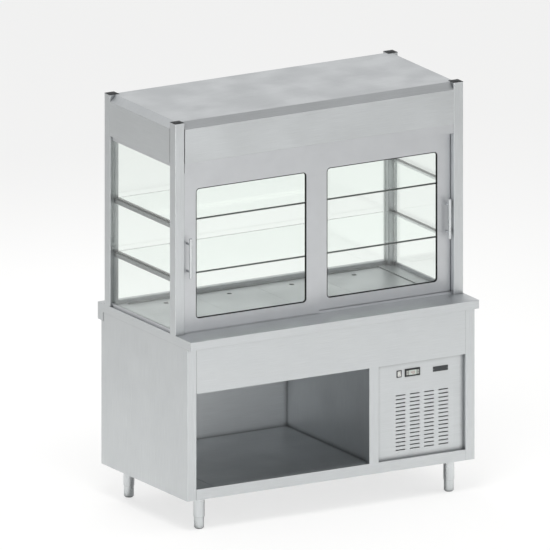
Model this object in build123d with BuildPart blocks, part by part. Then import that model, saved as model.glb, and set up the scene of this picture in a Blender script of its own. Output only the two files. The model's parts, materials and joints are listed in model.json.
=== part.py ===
from build123d import *
import os

os.makedirs("parts", exist_ok=True)

# A refrigerated display counter: a stainless base cabinet on four feet, with an open neutral
# compartment and a machine bay, an insulated cold well under the worktop, and a glazed display
# case with two sliding doors on the operator's side, cooled by an evaporator in its ceiling.
# Millimetres. +Z is up, +X runs to the right of the operator, who stands on the -Y side.
# The origin is on the floor, under the middle of the worktop.

# Driving sizes of the whole counter
counter_width = 1500
counter_depth = 840
counter_height = 900
case_height = 986
foot_height = 150

# Gauges and fits
sheet = 1.2
top_sheet = 1.5
bend_radius = 2
fit_gap = 0.3
slide_gap = 1.0

# Worktop
worktop_edge = 40
worktop_return = 15
lip_depth = 47
lip_height = 80

# Base cabinet
body_setback = 36
body_side_gap = 2
body_rear_setback = 28
stile_width = 48
stile_depth = 20
rear_stile_wrap = 32
base_rail_height = 50
upper_panel_height = 214
panel_depth = 20
centre_stile_width = 49
centre_stile_return = 31
machine_bay_width = 538
partition_thickness = 12
back_clearance = 15
liner_thickness = 10
ceiling_flange = 14

# Cold well and its lift-out deck plates
deck_plate_width = 325
deck_plate_height = 10
deck_gap = 2
well_side_margin = 90
well_front = 208
well_rear = 100
well_ledge = 12
well_ledge_drop = 14
well_depth = 200
well_flange = 20
well_corner_radius = 6
insulation_thickness = 40
finger_hole_radius = 12
drain_radius = 16
drain_wall = 2.5
drain_flange_radius = 28
drain_setback = 90

# Display case
case_setback = 142
case_rear_setback = 59
post_size = 50
post_wall = 2
post_corner_radius = 4
cap_rise = 5
fascia_height = 160
fascia_return = 20
fascia_proud = 1.5
roof_rise = 30
glass_recess = 15
glass_thickness = 6
glass_edge_gap = 1
channel_width = 14
channel_web = 1.5
top_channel_height = 20
bottom_channel_height = 15

# Sliding doors, their rail and their track
rail_height = 44
rail_groove_depth = 30
track_base = 2
track_rib_width = 3
track_rib_height = 7
door_setback = 16
door_thickness = 12
door_spacing = 3
door_overlap = 18
door_side_gap = 1
door_entry = 20
door_groove_width = 5
door_groove_depth = 12
door_stile = 66
door_bottom_rail = 58
window_height = 608
window_radius = 18
pane_thickness = 4
pane_rebate = 8
gasket_width = 4
door_edge_radius = 1.2
handle_radius = 7
handle_length = 187
handle_centres = 128
handle_stand_off = 32
handle_stem_radius = 5
handle_inset = 21
handle_height = 1255

# Glass shelves
shelf_levels = (1150, 1400)
shelf_thickness = 8
shelf_front_gap = 40
shelf_rear_gap = 11
shelf_rail_size = 20
shelf_rail_wall = 2

# Louvred panel of the machine bay
louvre_columns = 4
louvre_rows = 15
louvre_column_pitch = 74.2
louvre_row_pitch = 18.16
louvre_width = 50
louvre_slot = 5
louvre_shift = 10
louvre_middle_height = 365
louvre_blade = 8
louvre_blade_angle = 32
control_drop = 53
switch_place = 117
controller_place = 186

# Rocker switch and electronic controller on the louvred panel
bezel_width = 26
bezel_height = 33
bezel_border = 4
bezel_proud = 2
bezel_depth = 22
rocker_gap = 0.4
rocker_tilt = 8
controller_width = 78
controller_height = 36
controller_proud = 4
controller_depth = 58
controller_border = 2
window_width = 40
window_tall = 22
lens_thickness = 1.5
key_width = 11
key_height = 20
key_length = 5
key_proud = 0.8
key_gap = 0.3

# Feet
foot_inset_side = 100
foot_inset_front = 100
foot_inset_rear = 108
leg_radius = 25
leg_wall = 1.5
leg_flange_size = 90
leg_flange_thickness = 3
foot_radius = 22.5
foot_bullet_height = 56
foot_bullet_radius = 6
foot_stem_radius = 7
foot_stem_gap = 0.05
foot_stem_top = 166
leg_nut_height = 10
leg_nut_level = 120

# Condensing unit in the machine bay
unit_base_width = 440
unit_base_depth = 445
unit_base_height = 12
unit_side_gap = 28
unit_front_gap = 20
condenser_width = 320
condenser_height = 300
condenser_depth = 60
fin_pitch = 16
fin_thickness = 1.5
fin_stand_out = 5
end_plate_thickness = 2
shroud_depth = 24
fan_opening_gap = 6
fan_tip_gap = 4
condenser_fan_radius = 118
fan_hub_radius = 30
fan_hub_depth = 18
fan_bore_gap = 0.05
fan_shaft_radius = 4
fan_blades = 5
fan_blade_thickness = 2
fan_blade_root_chord = 26
fan_blade_tip_chord = 40
fan_blade_pitch = 22
fan_motor_radius = 38
fan_motor_depth = 60
fan_bridge_width = 16
fan_bridge_thickness = 3
fan_bridge_gap = 10
compressor_radius = 82
compressor_height = 176
compressor_seam = 5
compressor_foot_height = 18
compressor_foot_radius = 12
compressor_foot_spacing = 50
compressor_shift = 50
drier_radius = 14
drier_length = 110
pipe_radius = 5
pipe_bend = 25
pipe_sides = 8
pipe_spacing = 16
tray_height = 40
tray_depth = 150
tray_width = 400
box_width = 80
box_depth = 70
box_height = 120
box_drop = 40
box_lid = 15
gland_radius = 12
gland_length = 30

# Evaporator and its fans in the ceiling of the display case
evaporator_width = 840
evaporator_depth = 180
evaporator_height = 100
evaporator_lift = 30
evaporator_front = 170
evaporator_fin_pitch = 40
drip_tray_height = 18
ceiling_tray_depth = 16
fan_frame_size = 172
fan_frame_depth = 38
evaporator_fan_radius = 72
evaporator_fan_spacing = 560
evaporator_fan_setback = 110
fan_spoke_width = 8
fan_spoke_thickness = 3
light_length = 1200
light_width = 26
light_height = 18
light_setback = 74

# Places worked out from the sizes above
half_width = counter_width / 2
front_edge = -counter_depth / 2
rear_edge = counter_depth / 2
worktop_underside = counter_height - worktop_edge
lip_bottom = counter_height - lip_height
lip_front = rear_edge - lip_depth

body_side = half_width - body_side_gap
body_front = front_edge + body_setback
body_rear = rear_edge - body_rear_setback
frame_back = body_front + stile_depth
side_inner = body_side - panel_depth
stile_inner = body_side - stile_width
shelf_height = foot_height + base_rail_height
upper_panel_bottom = worktop_underside - upper_panel_height
back_face = body_rear - back_clearance
gland_x = side_inner - 1.5 * gland_radius
gland_y = back_face - 2 * gland_radius
partition_left = body_side - machine_bay_width
partition_right = partition_left + partition_thickness
centre_stile_left = partition_left - liner_thickness
bay_left = centre_stile_left + centre_stile_width

deck_plate_count = int((counter_width - 2 * well_side_margin) // deck_plate_width)
well_opening = deck_plate_count * deck_plate_width + 2 * deck_gap
well_near = front_edge + well_front
well_far = rear_edge - well_rear
deck_plate_depth = well_far - well_near - deck_gap
well_middle = (well_near + well_far) / 2
well_ledge_height = counter_height - well_ledge_drop
well_floor = counter_height - well_depth
drain_x = well_opening / 2 - drain_setback
drain_y = well_far - drain_setback

case_front = front_edge + case_setback
case_rear = rear_edge - case_rear_setback
case_depth = case_rear - case_front
case_middle = (case_front + case_rear) / 2
post_back = case_front + post_size
post_inner = half_width - post_size
post_top = counter_height + case_height
rear_post_front = case_rear - post_size
roof_bottom = post_top - roof_rise
fascia_bottom = roof_bottom - fascia_height
rail_bottom = fascia_bottom - rail_height
ceiling_bottom = fascia_bottom + sheet
ceiling_top = ceiling_bottom + sheet
pipe_x = post_inner + post_wall + 2 * pipe_radius
pipe_y = case_rear - post_size / 2
post_middles = [
    (side * (half_width - post_size / 2), y)
    for side in (-1, 1)
    for y in (case_front + post_size / 2, case_rear - post_size / 2)
]

front_door_face = case_front + door_setback
rear_door_face = front_door_face + door_thickness + door_spacing
door_bottom = counter_height + track_base + fit_gap
door_top = rail_bottom + door_entry
door_width = post_inner - door_side_gap + door_overlap / 2
window_bottom = door_bottom + door_bottom_rail
window_wide = door_width - 2 * door_stile

foot_x = half_width - foot_inset_side
foot_front = front_edge + foot_inset_front
foot_rear = rear_edge - foot_inset_rear
foot_places = {
    "foot_front_left": (-foot_x, foot_front),
    "foot_front_right": (foot_x, foot_front),
    "foot_rear_left": (-foot_x, foot_rear),
    "foot_rear_right": (foot_x, foot_rear),
}


def block(x, y, z, mode=Mode.ADD):
    """A box between two corners, given as its spans along X, Y and Z."""
    middle = ((x[0] + x[1]) / 2, (y[0] + y[1]) / 2, (z[0] + z[1]) / 2)
    with Locations(middle):
        Box(x[1] - x[0], y[1] - y[0], z[1] - z[0], mode=mode)


def tray(x, y, z, open_towards, gauge=sheet):
    """A folded sheet tray that fills the box and is open on its last face along the axis."""
    block(x, y, z)
    offset(amount=-gauge, openings=faces().sort_by(open_towards)[-1])


def cylinder_hole(x, y, z, radius, depth):
    """An upright round hole of the given depth, centred on the point."""
    with Locations((x, y, z)):
        Cylinder(radius, depth, mode=Mode.SUBTRACT)


def folded(points, gauge, side):
    """The cross-section of a sheet that is folded along the points of its outer skin."""
    with BuildSketch() as section:
        with BuildLine():
            FilletPolyline(*points, radius=bend_radius)
            offset(amount=gauge, side=side)
        make_face()
    return section.sketch


# Worktop: one folded sheet with a box lip along the customer's edge and closed ends
with BuildPart() as worktop:
    with BuildSketch(Plane.YZ):
        with BuildLine():
            FilletPolyline(
                (front_edge, worktop_underside),
                (front_edge, counter_height),
                (rear_edge, counter_height),
                (rear_edge, lip_bottom),
                (lip_front, lip_bottom),
                (lip_front, worktop_underside),
                radius=bend_radius,
                close=True,
            )
        make_face()
    extrude(amount=half_width, both=True)
    hollow = half_width - top_sheet
    block(
        (-hollow, hollow),
        (front_edge + top_sheet, rear_edge - top_sheet),
        (worktop_underside + top_sheet, counter_height - top_sheet),
        Mode.SUBTRACT,
    )
    block(
        (-hollow, hollow),
        (lip_front + top_sheet, rear_edge - top_sheet),
        (lip_bottom + top_sheet, counter_height - top_sheet),
        Mode.SUBTRACT,
    )
    block(
        (-half_width + worktop_return, half_width - worktop_return),
        (front_edge + worktop_return, lip_front + top_sheet),
        (worktop_underside, counter_height - top_sheet),
        Mode.SUBTRACT,
    )
    with BuildSketch(Plane.XY.offset(counter_height)):
        with Locations((0, well_middle)):
            RectangleRounded(well_opening, well_far - well_near, well_corner_radius)
    extrude(amount=-2 * top_sheet, mode=Mode.SUBTRACT)
    block(
        (pipe_x - 2 * pipe_radius, pipe_x + 2 * pipe_radius),
        (pipe_y - 4 * pipe_radius, pipe_y + 4 * pipe_radius),
        (counter_height - 2 * top_sheet, counter_height),
        Mode.SUBTRACT,
    )
worktop.part.label = "worktop"
export_step(worktop.part, "parts/worktop.step")

# Floor of the cabinet: an inverted tray whose front tongue is the base rail between the stiles,
# pressed up by its own gauge in the compartment, clear of the legs' flanges and the walls
with BuildPart() as base_floor:
    block((-side_inner, side_inner), (frame_back, back_face + panel_depth / 4), (foot_height, shelf_height))
    block((-stile_inner, stile_inner), (body_front, frame_back), (foot_height, shelf_height))
    raised_left = -foot_x + leg_flange_size / 2 + 2 * slide_gap
    raised_right = centre_stile_left - slide_gap
    block(
        (raised_left, raised_right),
        (frame_back + slide_gap, back_face - slide_gap),
        (foot_height, shelf_height + sheet),
    )
    block(
        (-side_inner + sheet, side_inner - sheet),
        (frame_back + sheet, back_face + panel_depth / 4 - sheet),
        (foot_height, shelf_height - sheet),
        Mode.SUBTRACT,
    )
    block(
        (-stile_inner + sheet, stile_inner - sheet),
        (body_front + sheet, frame_back + sheet),
        (foot_height, shelf_height - sheet),
        Mode.SUBTRACT,
    )
    block(
        (raised_left + sheet, raised_right - sheet),
        (frame_back + slide_gap + sheet, back_face - slide_gap - sheet),
        (foot_height, shelf_height),
        Mode.SUBTRACT,
    )
    cylinder_hole(gland_x, gland_y, shelf_height, gland_radius * 0.8, 4)
base_floor.part.label = "base_floor"
export_step(base_floor.part, "parts/base_floor.step")

# Side panels: folded trays between the front and rear stiles
with BuildPart() as side_panels:
    tray(
        (side_inner, body_side),
        (frame_back, body_rear - rear_stile_wrap),
        (foot_height, worktop_underside),
        Axis((0, 0, 0), (-1, 0, 0)),
    )
    mirror(about=Plane.YZ)
side_panels.part.label = "side_panels"
export_step(side_panels.part, "parts/side_panels.step")

# Stiles: a folded channel at each front corner, one beside the machine bay, and angles that wrap
# the customer's corners and are notched under the worktop's lip
with BuildPart() as corner_stiles:
    with BuildSketch(Plane.XY.offset(foot_height)):
        add(
            folded(
                [
                    (stile_inner, frame_back),
                    (stile_inner, body_front),
                    (body_side, body_front),
                    (body_side, frame_back),
                ],
                sheet,
                Side.LEFT,
            )
        )
        mirror(about=Plane.YZ)
    extrude(amount=worktop_underside - foot_height)
    with BuildSketch(Plane.XY.offset(shelf_height)):
        add(
            folded(
                [
                    (centre_stile_left, body_front + centre_stile_return),
                    (centre_stile_left, body_front),
                    (bay_left, body_front),
                    (bay_left, frame_back),
                ],
                sheet,
                Side.LEFT,
            )
        )
    extrude(amount=upper_panel_bottom - shelf_height)
    with BuildSketch(Plane.XY.offset(foot_height)):
        add(
            folded(
                [
                    (body_side, body_rear - rear_stile_wrap),
                    (body_side, body_rear),
                    (stile_inner, body_rear),
                ],
                sheet,
                Side.LEFT,
            )
        )
        mirror(about=Plane.YZ)
    extrude(amount=worktop_underside - foot_height)
    block(
        (-half_width, half_width),
        (lip_front, rear_edge),
        (lip_bottom, worktop_underside),
        Mode.SUBTRACT,
    )
corner_stiles.part.label = "corner_stiles"
export_step(corner_stiles.part, "parts/corner_stiles.step")

# Upper front panel: hides the insulated well above the compartment
with BuildPart() as upper_front_panel:
    tray(
        (-stile_inner, stile_inner),
        (body_front, frame_back),
        (upper_panel_bottom, worktop_underside),
        Axis.Y,
    )
upper_front_panel.part.label = "upper_front_panel"
export_step(upper_front_panel.part, "parts/upper_front_panel.step")

# Customer's panel: closes the back of the cabinet below the worktop's lip
with BuildPart() as customer_panel:
    tray(
        (-stile_inner, stile_inner),
        (body_rear - liner_thickness, body_rear),
        (foot_height, lip_bottom),
        Axis((0, 0, 0), (0, -1, 0)),
    )
customer_panel.part.label = "customer_panel"
export_step(customer_panel.part, "parts/customer_panel.step")

# Back wall of the open compartment
with BuildPart() as compartment_back:
    block((-side_inner, partition_left), (back_face, back_face + sheet), (shelf_height, upper_panel_bottom))
    for x in (-side_inner, partition_left - sheet):
        block((x, x + sheet), (back_face, back_face + liner_thickness), (shelf_height, upper_panel_bottom))
compartment_back.part.label = "compartment_back"
export_step(compartment_back.part, "parts/compartment_back.step")

# Lining of the compartment's left wall
with BuildPart() as compartment_liner:
    tray(
        (-side_inner, -side_inner + liner_thickness),
        (frame_back, back_face),
        (shelf_height, upper_panel_bottom),
        Axis((0, 0, 0), (-1, 0, 0)),
    )
compartment_liner.part.label = "compartment_liner"
export_step(compartment_liner.part, "parts/compartment_liner.step")

# Partition between the compartment and the machine bay
with BuildPart() as partition:
    tray(
        (partition_left, partition_right),
        (frame_back, back_face),
        (shelf_height, upper_panel_bottom),
        Axis.X,
    )
partition.part.label = "partition"
export_step(partition.part, "parts/partition.step")

# Ceiling of the compartment and the bay, which also carries the insulated well
with BuildPart() as compartment_ceiling:
    tray(
        (-side_inner, side_inner),
        (frame_back, back_face),
        (upper_panel_bottom, upper_panel_bottom + ceiling_flange),
        Axis.Z,
    )
    cylinder_hole(drain_x, drain_y, upper_panel_bottom, drain_radius + slide_gap, 4)
    block(
        (pipe_x - 2 * pipe_radius, pipe_x + 2 * pipe_radius),
        (pipe_y - 4 * pipe_radius, pipe_y + 4 * pipe_radius),
        (upper_panel_bottom - 1, upper_panel_bottom + 4),
        Mode.SUBTRACT,
    )
compartment_ceiling.part.label = "compartment_ceiling"
export_step(compartment_ceiling.part, "parts/compartment_ceiling.step")

# Louvred panel: it stands behind the stiles, and each slot has a blade bent inwards from its sill
grille_front = frame_back
louvre_middle_x = (bay_left + stile_inner) / 2 + louvre_shift
controls_height = upper_panel_bottom - control_drop
switch_x = bay_left + switch_place
controller_x = bay_left + controller_place
with BuildPart() as louvred_panel:
    tray(
        (partition_right + slide_gap, side_inner - slide_gap),
        (grille_front, grille_front + panel_depth - ceiling_flange / 2),
        (shelf_height, upper_panel_bottom),
        Axis.Y,
    )
    with BuildSketch(Plane.XZ.offset(-grille_front)):
        with Locations((louvre_middle_x, louvre_middle_height)):
            with GridLocations(louvre_column_pitch, louvre_row_pitch, louvre_columns, louvre_rows):
                Rectangle(louvre_width, louvre_slot)
        with Locations((switch_x, controls_height)):
            Rectangle(bezel_width - 2 * bezel_proud, bezel_height - 2 * bezel_proud)
        with Locations((controller_x, controls_height)):
            Rectangle(controller_width - 2 * controller_border, controller_height - 2 * controller_border)
    extrude(amount=-2 * sheet, mode=Mode.SUBTRACT)
    blade_sill = louvre_middle_height - louvre_slot / 2
    with BuildSketch(Plane.YZ.offset(louvre_middle_x)):
        with GridLocations(0, louvre_row_pitch, 1, louvre_rows):
            with Locations((grille_front + sheet, blade_sill - sheet)):
                with Locations(Rotation(0, 0, louvre_blade_angle)):
                    Rectangle(louvre_blade, sheet, align=(Align.MIN, Align.MIN))
    louvre_blades = extrude(amount=louvre_width / 2, both=True, mode=Mode.PRIVATE)
    with GridLocations(louvre_column_pitch, 0, louvre_columns, 1):
        add(louvre_blades)
louvred_panel.part.label = "louvred_panel"
export_step(louvred_panel.part, "parts/louvred_panel.step")

# Bezel of the rocker switch, with its body behind the panel
bezel_face = grille_front - bezel_proud
rocker_wide = bezel_width - 2 * bezel_border
rocker_tall = bezel_height - 2 * bezel_border
with BuildPart() as switch_bezel:
    with BuildSketch(Plane.XZ.offset(-grille_front)):
        with Locations((switch_x, controls_height)):
            Rectangle(bezel_width, bezel_height)
    extrude(amount=bezel_proud)
    chamfer(edges().group_by(Axis.Y)[0], length=bezel_proud / 2)
    block(
        (switch_x - bezel_width / 2 + bezel_proud, switch_x + bezel_width / 2 - bezel_proud),
        (grille_front, grille_front + bezel_depth),
        (
            controls_height - bezel_height / 2 + bezel_proud,
            controls_height + bezel_height / 2 - bezel_proud,
        ),
    )
    with BuildSketch(Plane.XZ.offset(-bezel_face)):
        with Locations((switch_x, controls_height)):
            Rectangle(rocker_wide, rocker_tall)
    extrude(amount=-(bezel_depth - bezel_border), mode=Mode.SUBTRACT)
switch_bezel.part.label = "switch_bezel"
export_step(switch_bezel.part, "parts/switch_bezel.step")

# Rocker, pressed at its top: a saddle-shaped face over a round back, on a pivot across the bezel
rocker_pivot = bezel_face + bezel_border
rocker_half = rocker_tall / 2 - rocker_gap - fit_gap
with BuildPart() as switch_rocker:
    rocker_start = switch_x - rocker_wide / 2 + rocker_gap
    with BuildSketch(Plane((rocker_start, rocker_pivot, controls_height), x_dir=(0, 1, 0), z_dir=(1, 0, 0))):
        with BuildLine():
            Polyline((0, rocker_half), (-bezel_border, rocker_half))
            ThreePointArc((-bezel_border, rocker_half), (-bezel_proud, 0), (-bezel_border, -rocker_half))
            Line((-bezel_border, -rocker_half), (0, -rocker_half))
            ThreePointArc((0, -rocker_half), (rocker_half, 0), (0, rocker_half))
        make_face()
    extrude(amount=rocker_wide - 2 * rocker_gap)
rocker_axis = Axis((0, rocker_pivot, controls_height), (1, 0, 0))
switch_rocker.part = switch_rocker.part.rotate(rocker_axis, -rocker_tilt)
switch_rocker.part.label = "switch_rocker"
export_step(switch_rocker.part, "parts/switch_rocker.step")

# Case of the electronic controller: a shallow moulded front with a window and two key pockets
controller_face = grille_front - controller_proud
key_places = [controller_x + side * (window_width / 2 + key_width / 2 + 2) for side in (-1, 1)]
with BuildPart() as controller_case:
    with BuildSketch(Plane.XZ.offset(-grille_front)):
        with Locations((controller_x, controls_height)):
            Rectangle(controller_width, controller_height)
    extrude(amount=controller_proud)
    chamfer(faces().sort_by(Axis.Y)[0].edges(), length=1)
    block(
        (
            controller_x - controller_width / 2 + controller_border,
            controller_x + controller_width / 2 - controller_border,
        ),
        (grille_front, grille_front + controller_depth),
        (
            controls_height - controller_height / 2 + controller_border,
            controls_height + controller_height / 2 - controller_border,
        ),
    )
    with BuildSketch(Plane.XZ.offset(-controller_face)):
        with Locations((controller_x, controls_height)):
            Rectangle(window_width, window_tall)
    extrude(amount=-lens_thickness, mode=Mode.SUBTRACT)
    with BuildSketch(Plane.XZ.offset(-controller_face)):
        with Locations(*[(x, controls_height) for x in key_places]):
            Rectangle(key_width + 2 * key_gap, key_height + 2 * key_gap)
    extrude(amount=-key_length - key_proud, mode=Mode.SUBTRACT)
controller_case.part.label = "controller_case"
export_step(controller_case.part, "parts/controller_case.step")

# Lens over the controller's figures
with BuildPart() as controller_lens:
    block(
        (controller_x - window_width / 2, controller_x + window_width / 2),
        (controller_face, controller_face + lens_thickness),
        (controls_height - window_tall / 2, controls_height + window_tall / 2),
    )
controller_lens.part.label = "controller_lens"
export_step(controller_lens.part, "parts/controller_lens.step")

# The controller's two keys
for name, x in zip(("controller_key_left", "controller_key_right"), key_places):
    with BuildPart() as key:
        with BuildSketch(Plane.XZ.offset(-controller_face + key_proud)):
            with Locations((x, controls_height)):
                Rectangle(key_width, key_height)
        extrude(amount=-key_length)
        chamfer(faces().sort_by(Axis.Y)[0].edges(), length=0.4)
    key.part.label = name
    export_step(key.part, f"parts/{name}.step")

# Leg tubes: each hangs from a flange under the floor and holds a nut plate for the foot's stem
flange_top = shelf_height - sheet
with BuildPart() as leg_tubes:
    with BuildSketch(Plane.XY.offset(foot_bullet_height)):
        with Locations(*foot_places.values()):
            Circle(leg_radius)
            Circle(leg_radius - leg_wall, mode=Mode.SUBTRACT)
    extrude(amount=flange_top - leg_flange_thickness - foot_bullet_height)
    with BuildSketch(Plane.XY.offset(flange_top)):
        with Locations(*foot_places.values()):
            Rectangle(leg_flange_size, leg_flange_size)
    extrude(amount=-leg_flange_thickness)
    with BuildSketch(Plane.XY.offset(leg_nut_level)):
        with Locations(*foot_places.values()):
            Circle(leg_radius - leg_wall / 2)
            Circle(foot_stem_radius + foot_stem_gap, mode=Mode.SUBTRACT)
    extrude(amount=leg_nut_height)
leg_tubes.part.label = "leg_tubes"
export_step(leg_tubes.part, "parts/leg_tubes.step")

# Adjustable feet: a round bullet below the tube's rim on a stem up through the nut plate
for name, (x, y) in foot_places.items():
    with BuildPart() as foot:
        with BuildSketch():
            with Locations((x, y)):
                Circle(foot_radius)
        extrude(amount=foot_bullet_height)
        chamfer(edges().sort_by(Axis.Z)[0], length=foot_bullet_radius)
        with BuildSketch(Plane.XY.offset(foot_bullet_height)):
            with Locations((x, y)):
                Circle(foot_stem_radius)
        extrude(amount=foot_stem_top - foot_bullet_height)
    foot.part.label = name
    export_step(foot.part, f"parts/{name}.step")

# Cold well: a pressed tank with a ledge for the deck plates and a flange under the worktop
flange_height = counter_height - top_sheet
ledge_wide = well_opening - 2 * well_ledge
ledge_deep = well_far - well_near - 2 * well_ledge
with BuildPart() as cold_well:
    with BuildSketch(Plane.XY.offset(flange_height)):
        with Locations((0, well_middle)):
            RectangleRounded(
                well_opening + 2 * well_flange,
                well_far - well_near + 2 * well_flange,
                well_corner_radius + well_flange,
            )
    extrude(amount=-sheet)
    for wide, deep, top, bottom in (
        (well_opening, well_far - well_near, flange_height, well_ledge_height),
        (ledge_wide, ledge_deep, well_ledge_height, well_floor),
    ):
        with BuildSketch(Plane.XY.offset(top)):
            with Locations((0, well_middle)):
                RectangleRounded(wide + 2 * sheet, deep + 2 * sheet, well_corner_radius + sheet)
        extrude(amount=bottom - sheet - top)
    for wide, deep, bottom in (
        (well_opening, well_far - well_near, well_ledge_height),
        (ledge_wide, ledge_deep, well_floor),
    ):
        with BuildSketch(Plane.XY.offset(flange_height)):
            with Locations((0, well_middle)):
                RectangleRounded(wide, deep, well_corner_radius)
        extrude(amount=bottom - flange_height, mode=Mode.SUBTRACT)
    cylinder_hole(drain_x, drain_y, well_floor, drain_radius, 4)
cold_well.part.label = "cold_well"
export_step(cold_well.part, "parts/cold_well.step")

# Foamed insulation round the well, standing on the ceiling of the cabinet
foam_top = well_ledge_height - sheet
with BuildPart() as well_insulation:
    block(
        (-ledge_wide / 2 - insulation_thickness, ledge_wide / 2 + insulation_thickness),
        (
            well_middle - ledge_deep / 2 - insulation_thickness,
            well_middle + ledge_deep / 2 + insulation_thickness,
        ),
        (upper_panel_bottom + sheet, foam_top),
    )
    with BuildSketch(Plane.XY.offset(foam_top)):
        with Locations((0, well_middle)):
            RectangleRounded(ledge_wide + 2 * sheet, ledge_deep + 2 * sheet, well_corner_radius + sheet)
    extrude(amount=well_floor - sheet - foam_top, mode=Mode.SUBTRACT)
    cylinder_hole(drain_x, drain_y, upper_panel_bottom + 40, drain_radius + slide_gap, 200)
well_insulation.part.label = "well_insulation"
export_step(well_insulation.part, "parts/well_insulation.step")

# Deck plates: lift-out trays side by side on the well's ledge, each with a finger hole
with BuildPart() as deck_plates:
    with BuildSketch(Plane.XY.offset(well_ledge_height)):
        with Locations((0, well_middle)):
            Rectangle(deck_plate_width - deck_gap / 2, deck_plate_depth - deck_gap)
    extrude(amount=deck_plate_height)
    offset(amount=-sheet, openings=faces().sort_by(Axis.Z)[0])
    cylinder_hole(0, well_far - deck_plate_depth / 8, well_ledge_height + deck_plate_height, finger_hole_radius, 4)
deck_plate = deck_plates.part
with BuildPart() as deck_plates:
    with GridLocations(deck_plate_width, 0, deck_plate_count, 1):
        add(deck_plate)
deck_plates.part.label = "deck_plates"
export_step(deck_plates.part, "parts/deck_plates.step")

# Drain of the well: a flanged pipe through the foam, down to the tray in the machine bay
drain_foot = shelf_height + 1.5 * tray_height
with BuildPart() as well_drain:
    with BuildSketch(Plane.XY.offset(well_floor)):
        with Locations((drain_x, drain_y)):
            Circle(drain_flange_radius)
    extrude(amount=drain_wall)
    with BuildSketch(Plane.XY.offset(well_floor)):
        with Locations((drain_x, drain_y)):
            Circle(drain_radius)
    extrude(amount=drain_foot - well_floor)
    cylinder_hole(drain_x, drain_y, well_floor, drain_radius - drain_wall, 2 * (well_floor - drain_foot))
well_drain.part.label = "well_drain"
export_step(well_drain.part, "parts/well_drain.step")

# Posts of the display case: square tubes on the worktop, the rear right one with the pipes inside
pipe_exit = post_top - roof_rise - fascia_height / 2
with BuildPart() as case_posts:
    with BuildSketch(Plane.XY.offset(counter_height)):
        with Locations(*post_middles):
            RectangleRounded(post_size, post_size, post_corner_radius)
            Rectangle(post_size - 2 * post_wall, post_size - 2 * post_wall, mode=Mode.SUBTRACT)
    extrude(amount=case_height)
    block(
        (post_inner, post_inner + post_wall),
        (pipe_y - 4 * pipe_radius, pipe_y + 4 * pipe_radius),
        (pipe_exit - 3 * pipe_radius, pipe_exit + 2 * pipe_radius),
        Mode.SUBTRACT,
    )
case_posts.part.label = "case_posts"
export_step(case_posts.part, "parts/case_posts.step")

# Caps: low bevelled plugs in the tops of the posts
with BuildPart() as post_caps:
    with BuildSketch(Plane.XY.offset(post_top)):
        with Locations(*post_middles):
            Rectangle(post_size - 2 * fit_gap, post_size - 2 * fit_gap)
    extrude(amount=cap_rise)
    chamfer(edges().group_by(Axis.Z)[-1], length=cap_rise - 1, length2=3 * cap_rise)
    with BuildSketch(Plane.XY.offset(post_top)):
        with Locations(*post_middles):
            Rectangle(post_size - 2 * post_wall - 4 * fit_gap, post_size - 2 * post_wall - 4 * fit_gap)
    extrude(amount=-3 * cap_rise)
post_caps.part.label = "post_caps"
export_step(post_caps.part, "parts/post_caps.step")


def fascia_section(face, inwards):
    """The C-shaped section of a fascia, whose outer face and direction inwards are given."""
    back = face + inwards * fascia_return
    outline = [(back, fascia_bottom), (face, fascia_bottom), (face, roof_bottom), (back, roof_bottom)]
    return folded(outline, sheet, Side.RIGHT if inwards > 0 else Side.LEFT)


# Fascias: folded covers between the posts, the operator's one standing a little proud
with BuildPart() as front_fascia:
    with BuildSketch(Plane.YZ):
        add(fascia_section(case_front - fascia_proud, 1))
    extrude(amount=post_inner, both=True)
front_fascia.part.label = "front_fascia"
export_step(front_fascia.part, "parts/front_fascia.step")

with BuildPart() as side_and_customer_fascias:
    with BuildSketch(Plane.YZ):
        add(fascia_section(case_rear, -1))
    extrude(amount=post_inner, both=True)
    with BuildSketch(Plane.XZ.offset(-post_back)):
        add(fascia_section(-half_width, 1))
        add(fascia_section(half_width, -1))
    extrude(amount=-(rear_post_front - post_back))
side_and_customer_fascias.part.label = "side_and_customer_fascias"
export_step(side_and_customer_fascias.part, "parts/side_and_customer_fascias.step")

# Roof: a shallow pan with a bevel all round, notched for the posts
bevel_offset = sheet * 2**0.5
with BuildPart() as roof_panel:
    with BuildSketch(Plane.XY.offset(roof_bottom)):
        with Locations((0, case_middle)):
            Rectangle(counter_width, case_depth)
    extrude(amount=roof_rise, taper=45)
    with BuildSketch(Plane.XY.offset(roof_bottom)):
        with Locations((0, case_middle)):
            Rectangle(counter_width - 2 * bevel_offset, case_depth - 2 * bevel_offset)
    extrude(amount=roof_rise - sheet, taper=45, mode=Mode.SUBTRACT)
    with BuildSketch(Plane.XY.offset(roof_bottom)):
        with Locations(*post_middles):
            Rectangle(post_size + fit_gap, post_size + fit_gap)
    extrude(amount=roof_rise, mode=Mode.SUBTRACT)
roof_panel.part.label = "roof_panel"
export_step(roof_panel.part, "parts/roof_panel.step")

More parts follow.
